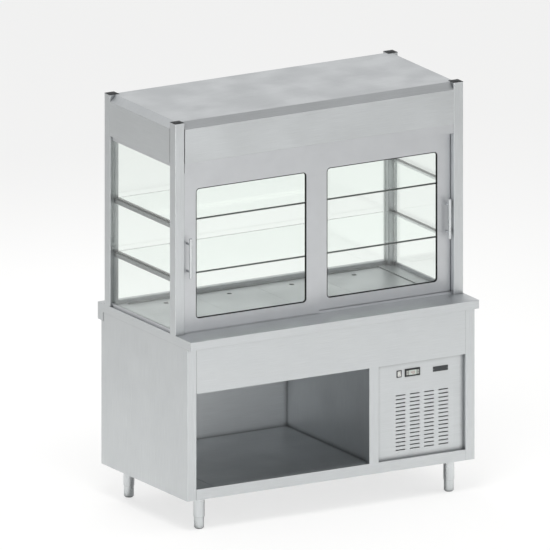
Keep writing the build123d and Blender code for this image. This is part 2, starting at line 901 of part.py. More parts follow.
# Ceiling tray: rests on the fascias' returns and carries the evaporator, its fans and the light
fan_places = [(side * evaporator_fan_spacing / 2, case_rear - evaporator_fan_setback) for side in (-1, 1)]
with BuildPart() as ceiling_tray:
    with BuildSketch(Plane.XY.offset(ceiling_bottom)):
        with Locations((0, case_middle)):
            Rectangle(counter_width - 4 * bend_radius, case_depth - 4 * bend_radius)
        with Locations(*post_middles):
            Rectangle(post_size + fit_gap, post_size + fit_gap, mode=Mode.SUBTRACT)
    extrude(amount=ceiling_tray_depth)
    offset(amount=-sheet, openings=faces().sort_by(Axis.Z)[-1])
    with BuildSketch(Plane.XY.offset(ceiling_bottom)):
        with Locations(*fan_places):
            Circle(evaporator_fan_radius + slide_gap)
            with GridLocations(evaporator_fan_radius / 3, 0, 5, 1):
                Rectangle(3, 3 * evaporator_fan_radius, mode=Mode.SUBTRACT)
        with Locations((0, case_front + evaporator_front / 2)):
            with GridLocations(evaporator_width / 6, 0, 7, 1):
                Rectangle(evaporator_width / 9, 3 * bend_radius)
    extrude(amount=2 * sheet, mode=Mode.SUBTRACT)
ceiling_tray.part.label = "ceiling_tray"
export_step(ceiling_tray.part, "parts/ceiling_tray.step")

# Top rail: an extrusion with a groove for each door and a hollow front
groove_gap = slide_gap
front_groove = (front_door_face - groove_gap, front_door_face + door_thickness + groove_gap)
rear_groove = (rear_door_face - groove_gap, rear_door_face + door_thickness + groove_gap)
rail_wall = 1.5
with BuildPart() as top_rail:
    with BuildSketch(Plane.YZ):
        with Locations((case_front, rail_bottom)):
            Rectangle(post_size, rail_height, align=(Align.MIN, Align.MIN))
        for low, high in (front_groove, rear_groove):
            with Locations((low, rail_bottom)):
                Rectangle(high - low, rail_groove_depth, align=(Align.MIN, Align.MIN), mode=Mode.SUBTRACT)
        with Locations((case_front + rail_wall, rail_bottom + rail_wall)):
            Rectangle(
                front_groove[0] - case_front - 2 * rail_wall,
                rail_height - 2 * rail_wall,
                align=(Align.MIN, Align.MIN),
                mode=Mode.SUBTRACT,
            )
    extrude(amount=post_inner, both=True)
top_rail.part.label = "top_rail"
export_step(top_rail.part, "parts/top_rail.step")

# Bottom track: a flat strip on the worktop with a guide rib under the middle of each door
door_middles = (front_door_face + door_thickness / 2, rear_door_face + door_thickness / 2)
with BuildPart() as bottom_track:
    with BuildSketch(Plane.YZ):
        with Locations((front_groove[0], counter_height)):
            Rectangle(rear_groove[1] - front_groove[0], track_base, align=(Align.MIN, Align.MIN))
        with Locations(*[(y, counter_height) for y in door_middles]):
            Rectangle(track_rib_width, track_base + track_rib_height, align=(Align.CENTER, Align.MIN))
    extrude(amount=post_inner, both=True)
bottom_track.part.label = "bottom_track"
export_step(bottom_track.part, "parts/bottom_track.step")

# Sliding doors: a frame, a pane in its rebate, a gasket on both faces and a bar handle
window_middle = window_bottom + window_height / 2
doors = {"left": (-1, front_door_face), "right": (1, rear_door_face)}
for name, (side, face) in doors.items():
    door_middle = side * (post_inner - door_side_gap - door_width / 2)
    back = face + door_thickness
    pane_face = face + (door_thickness - pane_thickness) / 2
    with BuildPart() as door_frame:
        with BuildSketch(Plane.XZ.offset(-face)):
            with Locations((door_middle, (door_bottom + door_top) / 2)):
                Rectangle(door_width, door_top - door_bottom)
        extrude(amount=-door_thickness)
        fillet(faces().sort_by(Axis.Y)[0].edges(), radius=door_edge_radius)
        with BuildSketch(Plane.XZ.offset(-face)):
            with Locations((door_middle, window_middle)):
                RectangleRounded(window_wide, window_height, window_radius)
        extrude(amount=-door_thickness, mode=Mode.SUBTRACT)
        block(
            (door_middle - window_wide / 2 - pane_rebate, door_middle + window_wide / 2 + pane_rebate),
            (pane_face, pane_face + pane_thickness),
            (window_bottom - pane_rebate, window_bottom + window_height + pane_rebate),
            Mode.SUBTRACT,
        )
        block(
            (door_middle - door_width / 2, door_middle + door_width / 2),
            (face + (door_thickness - door_groove_width) / 2, face + (door_thickness + door_groove_width) / 2),
            (door_bottom, door_bottom + door_groove_depth),
            Mode.SUBTRACT,
        )
    door_frame.part.label = f"{name}_door_frame"
    export_step(door_frame.part, f"parts/{name}_door_frame.step")

    with BuildPart() as door_pane:
        block(
            (door_middle - window_wide / 2 - pane_rebate, door_middle + window_wide / 2 + pane_rebate),
            (pane_face, pane_face + pane_thickness),
            (window_bottom - pane_rebate, window_bottom + window_height + pane_rebate),
        )
    door_pane.part.label = f"{name}_door_pane"
    export_step(door_pane.part, f"parts/{name}_door_pane.step")

    with BuildPart() as door_gasket:
        for start in (face + 0.5, pane_face + pane_thickness):
            with BuildSketch(Plane.XZ.offset(-start)):
                with Locations((door_middle, window_middle)):
                    RectangleRounded(window_wide, window_height, window_radius)
                    RectangleRounded(
                        window_wide - 2 * gasket_width,
                        window_height - 2 * gasket_width,
                        window_radius - gasket_width,
                        mode=Mode.SUBTRACT,
                    )
            extrude(amount=-(pane_face - face - 0.5))
    door_gasket.part.label = f"{name}_door_gasket"
    export_step(door_gasket.part, f"parts/{name}_door_gasket.step")

    handle_x = side * (post_inner - handle_inset)
    with BuildPart() as door_handle:
        with BuildSketch(Plane.XY.offset(handle_height - handle_length / 2)):
            with Locations((handle_x, face - handle_stand_off)):
                Circle(handle_radius)
        extrude(amount=handle_length)
        chamfer(edges().filter_by(GeomType.CIRCLE), length=handle_radius / 4)
        with BuildSketch(Plane.XZ.offset(-face)):
            with Locations((handle_x, handle_height)):
                with GridLocations(0, handle_centres, 1, 2):
                    Circle(handle_stem_radius)
        extrude(amount=handle_stand_off)
    door_handle.part.label = f"{name}_door_handle"
    export_step(door_handle.part, f"parts/{name}_door_handle.step")

# Fixed glass: a pane on each side and one towards the customer, set back from the posts
glass_bottom = counter_height + channel_web + glass_edge_gap
glass_top = fascia_bottom - channel_web - glass_edge_gap
side_glass_outer = half_width - glass_recess
rear_glass_outer = case_rear - glass_recess
with BuildPart() as side_glass:
    block(
        (side_glass_outer - glass_thickness, side_glass_outer),
        (post_back + glass_edge_gap, rear_post_front - glass_edge_gap),
        (glass_bottom, glass_top),
    )
    mirror(about=Plane.YZ)
side_glass.part.label = "side_glass"
export_step(side_glass.part, "parts/side_glass.step")

with BuildPart() as customer_glass:
    block(
        (-post_inner + glass_edge_gap, post_inner - glass_edge_gap),
        (rear_glass_outer - glass_thickness, rear_glass_outer),
        (glass_bottom, glass_top),
    )
customer_glass.part.label = "customer_glass"
export_step(customer_glass.part, "parts/customer_glass.step")


def channel_section(middle, web, mouth):
    """A glazing channel's U-section round the glass, from its web to its mouth."""
    height = mouth - web
    with BuildSketch() as section:
        with Locations((middle, (web + mouth) / 2)):
            Rectangle(channel_width, abs(height))
        with Locations((middle, (web + mouth) / 2 + channel_web * (1 if height > 0 else -1))):
            Rectangle(glass_thickness, abs(height), mode=Mode.SUBTRACT)
    return section.sketch


# Glazing channels along the head and foot of each fixed pane
side_glass_middle = side_glass_outer - glass_thickness / 2
rear_glass_middle = rear_glass_outer - glass_thickness / 2
with BuildPart() as glazing_channels:
    with BuildSketch(Plane.XZ.offset(-post_back)):
        for x in (-side_glass_middle, side_glass_middle):
            add(channel_section(x, counter_height, counter_height + bottom_channel_height))
            add(channel_section(x, fascia_bottom, fascia_bottom - top_channel_height))
    extrude(amount=-(rear_post_front - post_back))
    with BuildSketch(Plane.YZ.offset(-post_inner)):
        add(channel_section(rear_glass_middle, counter_height, counter_height + bottom_channel_height))
        add(channel_section(rear_glass_middle, fascia_bottom, fascia_bottom - top_channel_height))
    extrude(amount=2 * post_inner)
glazing_channels.part.label = "glazing_channels"
export_step(glazing_channels.part, "parts/glazing_channels.step")

# Shelf rails: angles between the front and rear posts, one pair for each glass shelf
shelf_rail_x = post_inner + 1 + shelf_rail_size
with BuildPart() as shelf_rails:
    for level in shelf_levels:
        with BuildSketch(Plane.XZ.offset(-post_back)):
            with Locations((shelf_rail_x - shelf_rail_size, level - shelf_rail_wall)):
                Rectangle(shelf_rail_size, shelf_rail_wall, align=(Align.MIN, Align.MIN))
            with Locations((shelf_rail_x, level)):
                Rectangle(shelf_rail_wall, shelf_rail_size, align=(Align.MAX, Align.MAX))
            mirror(about=Plane.YZ)
        extrude(amount=-(rear_post_front - post_back))
shelf_rails.part.label = "shelf_rails"
export_step(shelf_rails.part, "parts/shelf_rails.step")

with BuildPart() as glass_shelves:
    for level in shelf_levels:
        block(
            (-shelf_rail_x + shelf_rail_wall, shelf_rail_x - shelf_rail_wall),
            (post_back + shelf_front_gap, rear_post_front - shelf_rear_gap),
            (level, level + shelf_thickness),
        )
glass_shelves.part.label = "glass_shelves"
export_step(glass_shelves.part, "parts/glass_shelves.step")

# Light: a strip with a rounded diffuser under the ceiling, behind the doors' rail
light_y = case_front + light_setback
with BuildPart() as ceiling_light:
    block(
        (-light_length / 2, light_length / 2),
        (light_y - light_width / 2, light_y + light_width / 2),
        (ceiling_bottom - light_height, ceiling_bottom),
    )
    fillet(edges().filter_by(Axis.X).group_by(Axis.Z)[0], radius=light_width / 3)
ceiling_light.part.label = "ceiling_light"
export_step(ceiling_light.part, "parts/ceiling_light.step")


def finned_coil(width, depth, height, pitch):
    """A finned coil about its middle: fins across X on a core, between two end plates."""
    with BuildPart() as coil:
        Box(width, depth - 2 * fin_stand_out, height - 2 * fin_stand_out)
        with GridLocations(pitch, 0, int((width - pitch) // pitch), 1):
            Box(fin_thickness, depth, height)
        with GridLocations(width - end_plate_thickness, 0, 2, 1):
            Box(end_plate_thickness, depth, height)
    return coil.part


def fan_rotor(radius):
    """A fan rotor about the origin, turning on Z: flat pitched blades on a bored hub."""
    with BuildPart() as rotor:
        Cylinder(fan_hub_radius, fan_hub_depth)
        chamfer(edges().group_by(Axis.Z)[0], length=fan_hub_depth / 5)
        with BuildSketch(Plane.XY.rotated((fan_blade_pitch, 0, 0))):
            with BuildLine():
                Polyline(
                    (fan_hub_radius / 2, -fan_blade_root_chord / 2),
                    (radius, -fan_blade_tip_chord / 2),
                    (radius, fan_blade_tip_chord / 2),
                    (fan_hub_radius / 2, fan_blade_root_chord / 2),
                    close=True,
                )
            make_face()
        blade = extrude(amount=fan_blade_thickness / 2, both=True, mode=Mode.PRIVATE)
        with PolarLocations(0, fan_blades):
            add(blade)
        Cylinder(fan_shaft_radius + fan_bore_gap, fan_hub_depth, mode=Mode.SUBTRACT)
    return rotor.part


# Base of the condensing unit: an inverted tray on the floor of the machine bay
unit_left = partition_right + unit_side_gap
unit_middle = unit_left + unit_base_width / 2
unit_front = frame_back + unit_front_gap
unit_rear = unit_front + unit_base_depth
unit_top = shelf_height + unit_base_height
with BuildPart() as condensing_unit_base:
    tray(
        (unit_left, unit_left + unit_base_width),
        (unit_front, unit_rear),
        (shelf_height, unit_top),
        Axis((0, 0, 0), (0, 0, -1)),
    )
condensing_unit_base.part.label = "condensing_unit_base"
export_step(condensing_unit_base.part, "parts/condensing_unit_base.step")

# Condenser: a finned coil straight behind the louvres
condenser_front = unit_front + 3 * bend_radius
condenser_back = condenser_front + condenser_depth
condenser_level = unit_top + condenser_height / 2
with BuildPart() as condenser:
    with Locations((unit_middle, (condenser_front + condenser_back) / 2, condenser_level)):
        add(finned_coil(condenser_width, condenser_depth, condenser_height, fin_pitch))
condenser.part.label = "condenser"
export_step(condenser.part, "parts/condenser.step")

# Fan shroud: a box on the condenser's back with a round mouth, and a bridge for the fan's motor
shroud_back = condenser_back + shroud_depth
bridge_front = shroud_back + fan_bridge_gap
fan_mouth = condenser_fan_radius + fan_opening_gap
with BuildPart() as fan_shroud:
    tray(
        (unit_middle - condenser_width / 2, unit_middle + condenser_width / 2),
        (condenser_back, shroud_back),
        (unit_top, unit_top + condenser_height),
        Axis((0, 0, 0), (0, -1, 0)),
    )
    with Locations((unit_middle, shroud_back, condenser_level)):
        Cylinder(fan_mouth, 4 * sheet, rotation=(90, 0, 0), mode=Mode.SUBTRACT)
    for x in (unit_middle - fan_mouth - fan_bridge_width, unit_middle + fan_mouth):
        block(
            (x, x + fan_bridge_width),
            (shroud_back, bridge_front),
            (condenser_level - fan_bridge_width / 2, condenser_level + fan_bridge_width / 2),
        )
    block(
        (unit_middle - fan_mouth - fan_bridge_width, unit_middle + fan_mouth + fan_bridge_width),
        (bridge_front, bridge_front + fan_bridge_thickness),
        (condenser_level - fan_bridge_width / 2, condenser_level + fan_bridge_width / 2),
    )
    with BuildSketch(Plane.XZ.offset(-bridge_front)):
        with Locations((unit_middle, condenser_level)):
            Circle(fan_motor_radius)
    extrude(amount=-fan_motor_depth)
    with BuildSketch(Plane.XZ.offset(-bridge_front)):
        with Locations((unit_middle, condenser_level)):
            Circle(fan_shaft_radius)
    extrude(amount=fan_hub_depth)
fan_shroud.part.label = "fan_shroud"
export_step(fan_shroud.part, "parts/fan_shroud.step")

# Condenser fan: turns in the shroud's mouth on the motor's shaft
fan_middle = bridge_front - slide_gap - fan_hub_depth / 2
with BuildPart() as condenser_fan:
    with Locations(Plane((unit_middle, fan_middle, condenser_level), z_dir=(0, 1, 0))):
        add(fan_rotor(condenser_fan_radius))
condenser_fan.part.label = "condenser_fan"
export_step(condenser_fan.part, "parts/condenser_fan.step")

# Compressor: a welded can with a seam round its middle, on three rubber feet
compressor_x = unit_middle - compressor_shift
compressor_y = unit_rear - compressor_radius - compressor_seam - 2 * bend_radius
can_foot = unit_top + compressor_foot_height
can_top = can_foot + compressor_height
with BuildPart() as compressor:
    with Locations((compressor_x, compressor_y, can_foot)):
        Cylinder(compressor_radius, compressor_height, align=(Align.CENTER, Align.CENTER, Align.MIN))
    chamfer(edges().group_by(Axis.Z)[-1], length=compressor_radius / 4, length2=compressor_radius / 2)
    chamfer(edges().group_by(Axis.Z)[0], length=compressor_radius / 5)
    with Locations((compressor_x, compressor_y, can_foot + compressor_height / 2)):
        Cylinder(compressor_radius + compressor_seam, compressor_seam)
    with BuildSketch(Plane.XY.offset(unit_top)):
        with Locations((compressor_x, compressor_y)):
            with PolarLocations(compressor_foot_spacing, 3):
                Circle(compressor_foot_radius)
    extrude(amount=compressor_foot_height)
compressor.part.label = "compressor"
export_step(compressor.part, "parts/compressor.step")

# Tray in which the well's condensate dries off, behind the unit and under the drain
with BuildPart() as condensate_tray:
    tray(
        (unit_left, unit_left + tray_width),
        (drain_y - tray_depth / 2, drain_y + tray_depth / 2),
        (shelf_height, shelf_height + tray_height),
        Axis.Z,
    )
condensate_tray.part.label = "condensate_tray"
export_step(condensate_tray.part, "parts/condensate_tray.step")

# Electrical box on the side panel, and the gland where the supply enters through the floor
box_inner = body_side - sheet - box_width
with BuildPart() as electrical_box:
    block(
        (box_inner + box_lid, body_side - sheet),
        (unit_rear, unit_rear + box_depth),
        (upper_panel_bottom - box_drop - box_height, upper_panel_bottom - box_drop),
    )
    block(
        (box_inner, box_inner + box_lid),
        (unit_rear - bend_radius, unit_rear + box_depth + bend_radius),
        (
            upper_panel_bottom - box_drop - box_height - bend_radius,
            upper_panel_bottom - box_drop + bend_radius,
        ),
    )
    with Locations((gland_x, gland_y, shelf_height)):
        Cylinder(gland_radius * 0.8 - fit_gap, gland_length)
    for level, thickness in ((shelf_height, gland_length / 5), (shelf_height - sheet, -gland_length / 5)):
        with BuildSketch(Plane.XY.offset(level)):
            with Locations((gland_x, gland_y)):
                RegularPolygon(gland_radius, 6)
        extrude(amount=thickness)
electrical_box.part.label = "electrical_box"
export_step(electrical_box.part, "parts/electrical_box.step")

# Evaporator: a finned coil whose end plates stand in its drip tray, on the ceiling tray
coil_front = case_front + evaporator_front
coil_rear = coil_front + evaporator_depth
coil_bottom = ceiling_top + evaporator_lift
with BuildPart() as evaporator:
    with Locations((0, (coil_front + coil_rear) / 2, coil_bottom + evaporator_height / 2)):
        add(finned_coil(evaporator_width, evaporator_depth, evaporator_height, evaporator_fin_pitch))
    for x in (-evaporator_width / 2, evaporator_width / 2 - end_plate_thickness):
        block((x, x + end_plate_thickness), (coil_front, coil_rear), (ceiling_top, coil_bottom))
    for y in (coil_front, coil_rear - end_plate_thickness):
        block(
            (-evaporator_width / 2, evaporator_width / 2),
            (y, y + end_plate_thickness),
            (ceiling_top, ceiling_top + drip_tray_height),
        )
    block(
        (-evaporator_width / 2, evaporator_width / 2),
        (coil_front, coil_rear),
        (ceiling_top, ceiling_top + sheet),
    )
evaporator.part.label = "evaporator"
export_step(evaporator.part, "parts/evaporator.step")

# Frames of the evaporator's two fans, each with a motor on four spokes
motor_level = ceiling_top + fan_frame_depth - fan_spoke_thickness
with BuildPart() as evaporator_fan_frames:
    with BuildSketch(Plane.XY.offset(ceiling_top)):
        with Locations(*fan_places):
            Rectangle(fan_frame_size, fan_frame_size)
            Circle(evaporator_fan_radius + slide_gap, mode=Mode.SUBTRACT)
    extrude(amount=fan_frame_depth)
    with BuildSketch(Plane.XY.offset(motor_level)):
        with Locations(*fan_places):
            Rectangle(2 * evaporator_fan_radius + 3 * slide_gap, fan_spoke_width)
            Rectangle(fan_spoke_width, 2 * evaporator_fan_radius + 3 * slide_gap)
    extrude(amount=fan_spoke_thickness)
    with BuildSketch(Plane.XY.offset(motor_level)):
        with Locations(*fan_places):
            Circle(fan_hub_radius)
    extrude(amount=fan_hub_depth)
    with BuildSketch(Plane.XY.offset(motor_level)):
        with Locations(*fan_places):
            Circle(fan_shaft_radius)
    extrude(amount=-fan_hub_depth)
evaporator_fan_frames.part.label = "evaporator_fan_frames"
export_step(evaporator_fan_frames.part, "parts/evaporator_fan_frames.step")

# Evaporator fans: each turns inside its frame, under its motor
rotor_level = motor_level - slide_gap - fan_hub_depth / 2
for name, (x, y) in zip(("evaporator_fan_left", "evaporator_fan_right"), fan_places):
    with BuildPart() as evaporator_fan:
        with Locations((x, y, rotor_level)):
            add(fan_rotor(evaporator_fan_radius - fan_tip_gap))
    evaporator_fan.part.label = name
    export_step(evaporator_fan.part, f"parts/{name}.step")

# Refrigerant pipes: the suction line, the liquid line with its drier, and the hot line between the
# compressor and the condenser; the first two share the hollow of the rear right post
suction_y = pipe_y - pipe_spacing / 2
liquid_y = pipe_y + pipe_spacing / 2
coil_end = evaporator_width / 2
coil_middle_y = (coil_front + coil_rear) / 2
plate_x = unit_middle + condenser_width / 2
condenser_y = (condenser_front + condenser_back) / 2
low_run = shelf_height + tray_height + 2 * pipe_radius
suction_run = can_top + 1.5 * pipe_bend
hot_run = unit_top + condenser_height + pipe_bend
liquid_x = plate_x + tray_height
drop = 2 * pipe_bend + 2 * pipe_radius
pipe_routes = (
    (
        (compressor_x + pipe_bend, compressor_y, can_top),
        (compressor_x + pipe_bend, compressor_y, suction_run),
        (pipe_x, compressor_y, suction_run),
        (pipe_x, suction_y, suction_run),
        (pipe_x, suction_y, pipe_exit),
        (coil_end + 5 * pipe_bend, suction_y, pipe_exit),
        (coil_end + 5 * pipe_bend, coil_middle_y - pipe_bend, pipe_exit),
        (coil_end, coil_middle_y - pipe_bend, pipe_exit),
    ),
    (
        (plate_x, condenser_y, low_run),
        (liquid_x, condenser_y, low_run),
        (liquid_x, liquid_y, low_run),
        (pipe_x, liquid_y, low_run),
        (pipe_x, liquid_y, pipe_exit),
        (coil_end + 4 * pipe_bend, liquid_y, pipe_exit),
        (coil_end + 4 * pipe_bend, coil_middle_y + pipe_bend, pipe_exit),
        (coil_end, coil_middle_y + pipe_bend, pipe_exit),
    ),
    (
        (compressor_x - pipe_bend, compressor_y, can_top),
        (compressor_x - pipe_bend, compressor_y, hot_run),
        (plate_x + 1.5 * pipe_bend, compressor_y, hot_run),
        (plate_x + 1.5 * pipe_bend, condenser_y, hot_run),
        (plate_x + 1.5 * pipe_bend, condenser_y, hot_run - drop),
        (plate_x, condenser_y, hot_run - drop),
    ),
)
with BuildPart() as refrigerant_pipes:
    for route in pipe_routes:
        with BuildLine() as centre_line:
            FilletPolyline(*route, radius=pipe_bend)
        with BuildSketch(Plane(centre_line.line @ 0, z_dir=centre_line.line % 0)):
            RegularPolygon(pipe_radius, pipe_sides)
        sweep(path=centre_line.line)
    with Locations((liquid_x, compressor_y, low_run)):
        Cylinder(drier_radius, drier_length, rotation=(90, 0, 0))
refrigerant_pipes.part.label = "refrigerant_pipes"
export_step(refrigerant_pipes.part, "parts/refrigerant_pipes.step")
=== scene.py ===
import json
import math

import bmesh
import bpy
from bpy.props import FloatProperty, FloatVectorProperty, PointerProperty, StringProperty
from mathutils import Matrix, Vector


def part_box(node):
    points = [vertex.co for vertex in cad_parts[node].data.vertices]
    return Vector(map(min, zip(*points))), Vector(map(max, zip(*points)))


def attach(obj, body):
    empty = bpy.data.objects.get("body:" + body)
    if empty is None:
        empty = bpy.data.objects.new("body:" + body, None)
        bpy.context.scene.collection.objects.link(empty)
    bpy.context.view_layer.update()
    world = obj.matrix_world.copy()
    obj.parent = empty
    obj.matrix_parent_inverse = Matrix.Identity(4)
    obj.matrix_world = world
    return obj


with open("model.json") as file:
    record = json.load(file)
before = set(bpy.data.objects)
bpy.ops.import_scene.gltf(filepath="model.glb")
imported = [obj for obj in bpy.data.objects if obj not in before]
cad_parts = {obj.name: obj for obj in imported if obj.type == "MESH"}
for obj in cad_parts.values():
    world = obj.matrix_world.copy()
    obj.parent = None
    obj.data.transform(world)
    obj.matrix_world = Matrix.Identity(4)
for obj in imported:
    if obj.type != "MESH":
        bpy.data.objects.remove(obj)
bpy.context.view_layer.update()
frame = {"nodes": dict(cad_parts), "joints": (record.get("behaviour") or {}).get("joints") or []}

bl_info = {
    "name": "Refrigerated display counter",
    "version": (1, 0, 0),
    "blender": (4, 5, 0),
    "location": "3D View > Sidebar > Counter",
    "description": "Finishes, small fittings and studio for a refrigerated display counter",
    "category": "Object",
}

MM = 0.001

# The photograph is a parallel view. The near left corner of the worktop falls on CORNER_PIXEL.
IMAGE_SIDE = 550
PIXELS_PER_METRE = 221.83
CORNER_PIXEL = (190.93, 343.0)
VIEW_AZIMUTH = math.radians(30)
VIEW_ELEVATION = math.radians(15)
CAMERA_DISTANCE = 6.0
CAMERA_REACH = 100

# The studio's floor ends out of sight in every view. To the camera this much of its paint is pure
# white, and the rest takes the counter's shadow.
FLOOR_HALF_SIDE = 40
FLOOR_WHITENESS = 0.7

# Each lamp's name, place, side in metres, power in watts, and whether metal mirrors it
LAMPS = (
    ("key_lamp", (-1.9, -2.3, 6.4), 2.8, 230, False),
    ("fill_lamp", (3.4, -2.4, 2.8), 3.0, 50, False),
    ("low_lamp", (-1.0, -4.8, 1.4), 2.6, 34, True),
    ("back_lamp", (0.6, 3.6, 3.4), 2.6, 80, False),
)
LAMPS_AIM = (0, 0, 0.95)

# Roughness of brushed sheet and of polished tube
SHEET_ROUGHNESS = 0.38
TUBE_ROUGHNESS = 0.22

# Lines that the die leaves on an extrusion. Real ones are finer, and wouldn't show.
DIE_LINE_LENGTH = 400 * MM
DIE_LINE_WIDTH = 1.2 * MM

# Fins of the coils, drawn on the blocks that stand for them as pale bands with painted shade in the
# gaps between them
FIN_PITCH = 2.5 * MM

# Middle of the bare plate on the louvred panel's face, read from the photograph, and its own sizes
PLATE_X = 581 * MM
PLATE_Z = 591 * MM
PLATE_CORNER = 2 * MM
PLATE_THICKNESS = 0.8 * MM
PLATE_BEVEL = 0.2 * MM
RIVET_WIDTH = 3.2 * MM
RIVET_INSET = 4 * MM
RIVET_THICKNESS = 0.6 * MM
RIVET_BEVEL = 0.3 * MM

# The controller's figures, and the point between them
FIGURE_WIDTH = 6 * MM
FIGURE_HEIGHT = 12 * MM
FIGURE_PITCH = 11 * MM
FIGURE_STROKE = 1.5 * MM
FIGURE_THICKNESS = 0.2 * MM
POINT_WIDTH = 1.6 * MM

# Bars that are lit in each figure: a is the top one, b to f follow clockwise, and g is the middle
SEGMENTS = {
    "0": "abcdef",
    "1": "bc",
    "2": "abged",
    "3": "abgcd",
    "4": "fgbc",
    "5": "afgcd",
    "6": "afgedc",
    "7": "abc",
    "8": "abcdefg",
    "9": "abcdfg",
}

# Arrows printed on the keys
ARROW_HALF_WIDTH = 2.4 * MM
ARROW_FOOT = 2 * MM
ARROW_TIP = 2.2 * MM
ARROW_THICKNESS = 0.1 * MM

# Line and ring on the rocker, whose face stands ROCKER_FACE in front of its pivot where they lie
ROCKER_TILT = math.radians(-8)
ROCKER_FACE = 2.66 * MM
ROCKER_MARK_OFFSET = 7 * MM
ROCKER_MARK_THICKNESS = 0.35 * MM
ROCKER_LINE_WIDTH = 1.2 * MM
ROCKER_LINE_HEIGHT = 5 * MM
ROCKER_LINE_CORNER = 0.5 * MM
ROCKER_RING_OUTER = 2.4 * MM
ROCKER_RING_INNER = 1.5 * MM

# Screws of the legs' flanges, each at this distance from the leg's middle in X and in Y
LEG_FLANGE_THICKNESS = 3 * MM
SCREW_OFFSET = 36 * MM
HEXAGON_SIDES = 6
# Radius, and drop below the flange, of the edges of a screw's collar and head
SCREW_PROFILE = (
    (8 * MM, 0.0),
    (8 * MM, 0.8 * MM),
    (5.5 * MM, 0.8 * MM),
    (5.5 * MM, 4.4 * MM),
    (4.6 * MM, 5.0 * MM),
)

UPRIGHT_STEEL_NODES = (
    "case_posts",
    "corner_stiles",
    "side_panels",
    "partition",
    "compartment_liner",
)
LEVEL_STEEL_NODES = (
    "worktop",
    "base_floor",
    "upper_front_panel",
    "customer_panel",
    "compartment_back",
    "louvred_panel",
    "front_fascia",
    "side_and_customer_fascias",
    "roof_panel",
    "ceiling_tray",
    "cold_well",
    "deck_plates",
    "shelf_rails",
)
POLISHED_STEEL_NODES = (
    "left_door_handle",
    "right_door_handle",
    "leg_tubes",
    "foot_front_left",
    "foot_front_right",
    "foot_rear_left",
    "foot_rear_right",
)
GALVANISED_NODES = ("compartment_ceiling", "condensing_unit_base", "fan_shroud", "condensate_tray")
ALUMINIUM_NODES = (
    "top_rail",
    "bottom_track",
    "glazing_channels",
    "left_door_frame",
    "right_door_frame",
)
# Panes by the axis that their faces look along
GLASS_NODES = {
    "X": ("side_glass",),
    "Y": ("customer_glass", "left_door_pane", "right_door_pane"),
    "Z": ("glass_shelves",),
}
COIL_NODES = ("condenser", "evaporator")
BLACK_PLASTIC_NODES = (
    "switch_bezel",
    "controller_case",
    "post_caps",
    "electrical_box",
    "evaporator_fan_frames",
    "evaporator_fan_left",
    "evaporator_fan_right",
)
KEY_NODES = ("controller_key_left", "controller_key_right")


def colour(hex_text):
    """The linear RGBA colour of an sRGB hex value."""
    parts = [int(hex_text[i : i + 2], 16) / 255 for i in (1, 3, 5)]
    return [p / 12.92 if p <= 0.04045 else ((p + 0.055) / 1.055) ** 2.4 for p in parts] + [1.0]


def add_node(tree, kind, inputs=None, **settings):
    """Adds a node with its settings. Each input takes a value, or a link from a socket."""
    node = tree.nodes.new(kind)
    for name, value in settings.items():
        setattr(node, name, value)
    for socket, value in (inputs or {}).items():
        if isinstance(value, bpy.types.NodeSocket):
            tree.links.new(value, node.inputs[socket])
        else:
            node.inputs[socket].default_value = value
    return node


def new_material(name):
    """An empty node material and its tree."""
    material = bpy.data.materials.new(name)
    material.use_nodes = True
    material.node_tree.nodes.clear()
    return material, material.node_tree


def finish_material(tree, surface):
    """Joins the shader to the material's output."""
    add_node(tree, "ShaderNodeOutputMaterial", {"Surface": surface.outputs[0]})


def dress(names, material):
    """Gives every slot of the named CAD nodes the material."""
    for name in names:
        slots = frame["nodes"][name].data.materials
        slots.clear()
        slots.append(material)


def settings():
    """The user's sizes and colours for the counter."""
    return bpy.context.scene.counter_finish


def sheet_coordinates(tree, along, across, upright):
    """Coordinates that stretch a pattern along the sheet's grain, level or upright."""
    place = add_node(tree, "ShaderNodeTexCoord").outputs["Object"]
    axes = add_node(tree, "ShaderNodeSeparateXYZ", {0: place})
    normal = add_node(tree, "ShaderNodeNewGeometry").outputs["True Normal"]
    facing = add_node(tree, "ShaderNodeSeparateXYZ", {0: normal})
    flatness = add_node(tree, "ShaderNodeMath", {0: facing.outputs["Z"]}, operation="ABSOLUTE")
    lies_flat = add_node(
        tree, "ShaderNodeMath", {0: flatness.outputs[0], 1: 0.5}, operation="GREATER_THAN"
    )
    level = add_node(
        tree, "ShaderNodeMath", {0: axes.outputs["X"], 1: axes.outputs["Y"]}, operation="ADD"
    )
    first, second = (across, along) if upright else (along, across)
    standing = add_node(tree, "ShaderNodeCombineXYZ", {0: level.outputs[0], 1: axes.outputs["Z"]})
    standing = add_node(
        tree,
        "ShaderNodeMapping",
        {"Vector": standing.outputs[0], "Scale": (1 / first, 1 / second, 1)},
    )
    lying = add_node(
        tree, "ShaderNodeMapping", {"Vector": place, "Scale": (1 / along, 1 / across, 1 / along)}
    )
    return add_node(
        tree,
        "ShaderNodeMix",
        {0: lies_flat.outputs[0], 4: standing.outputs[0], 5: lying.outputs[0]},
        data_type="VECTOR",
    ).outputs[1]


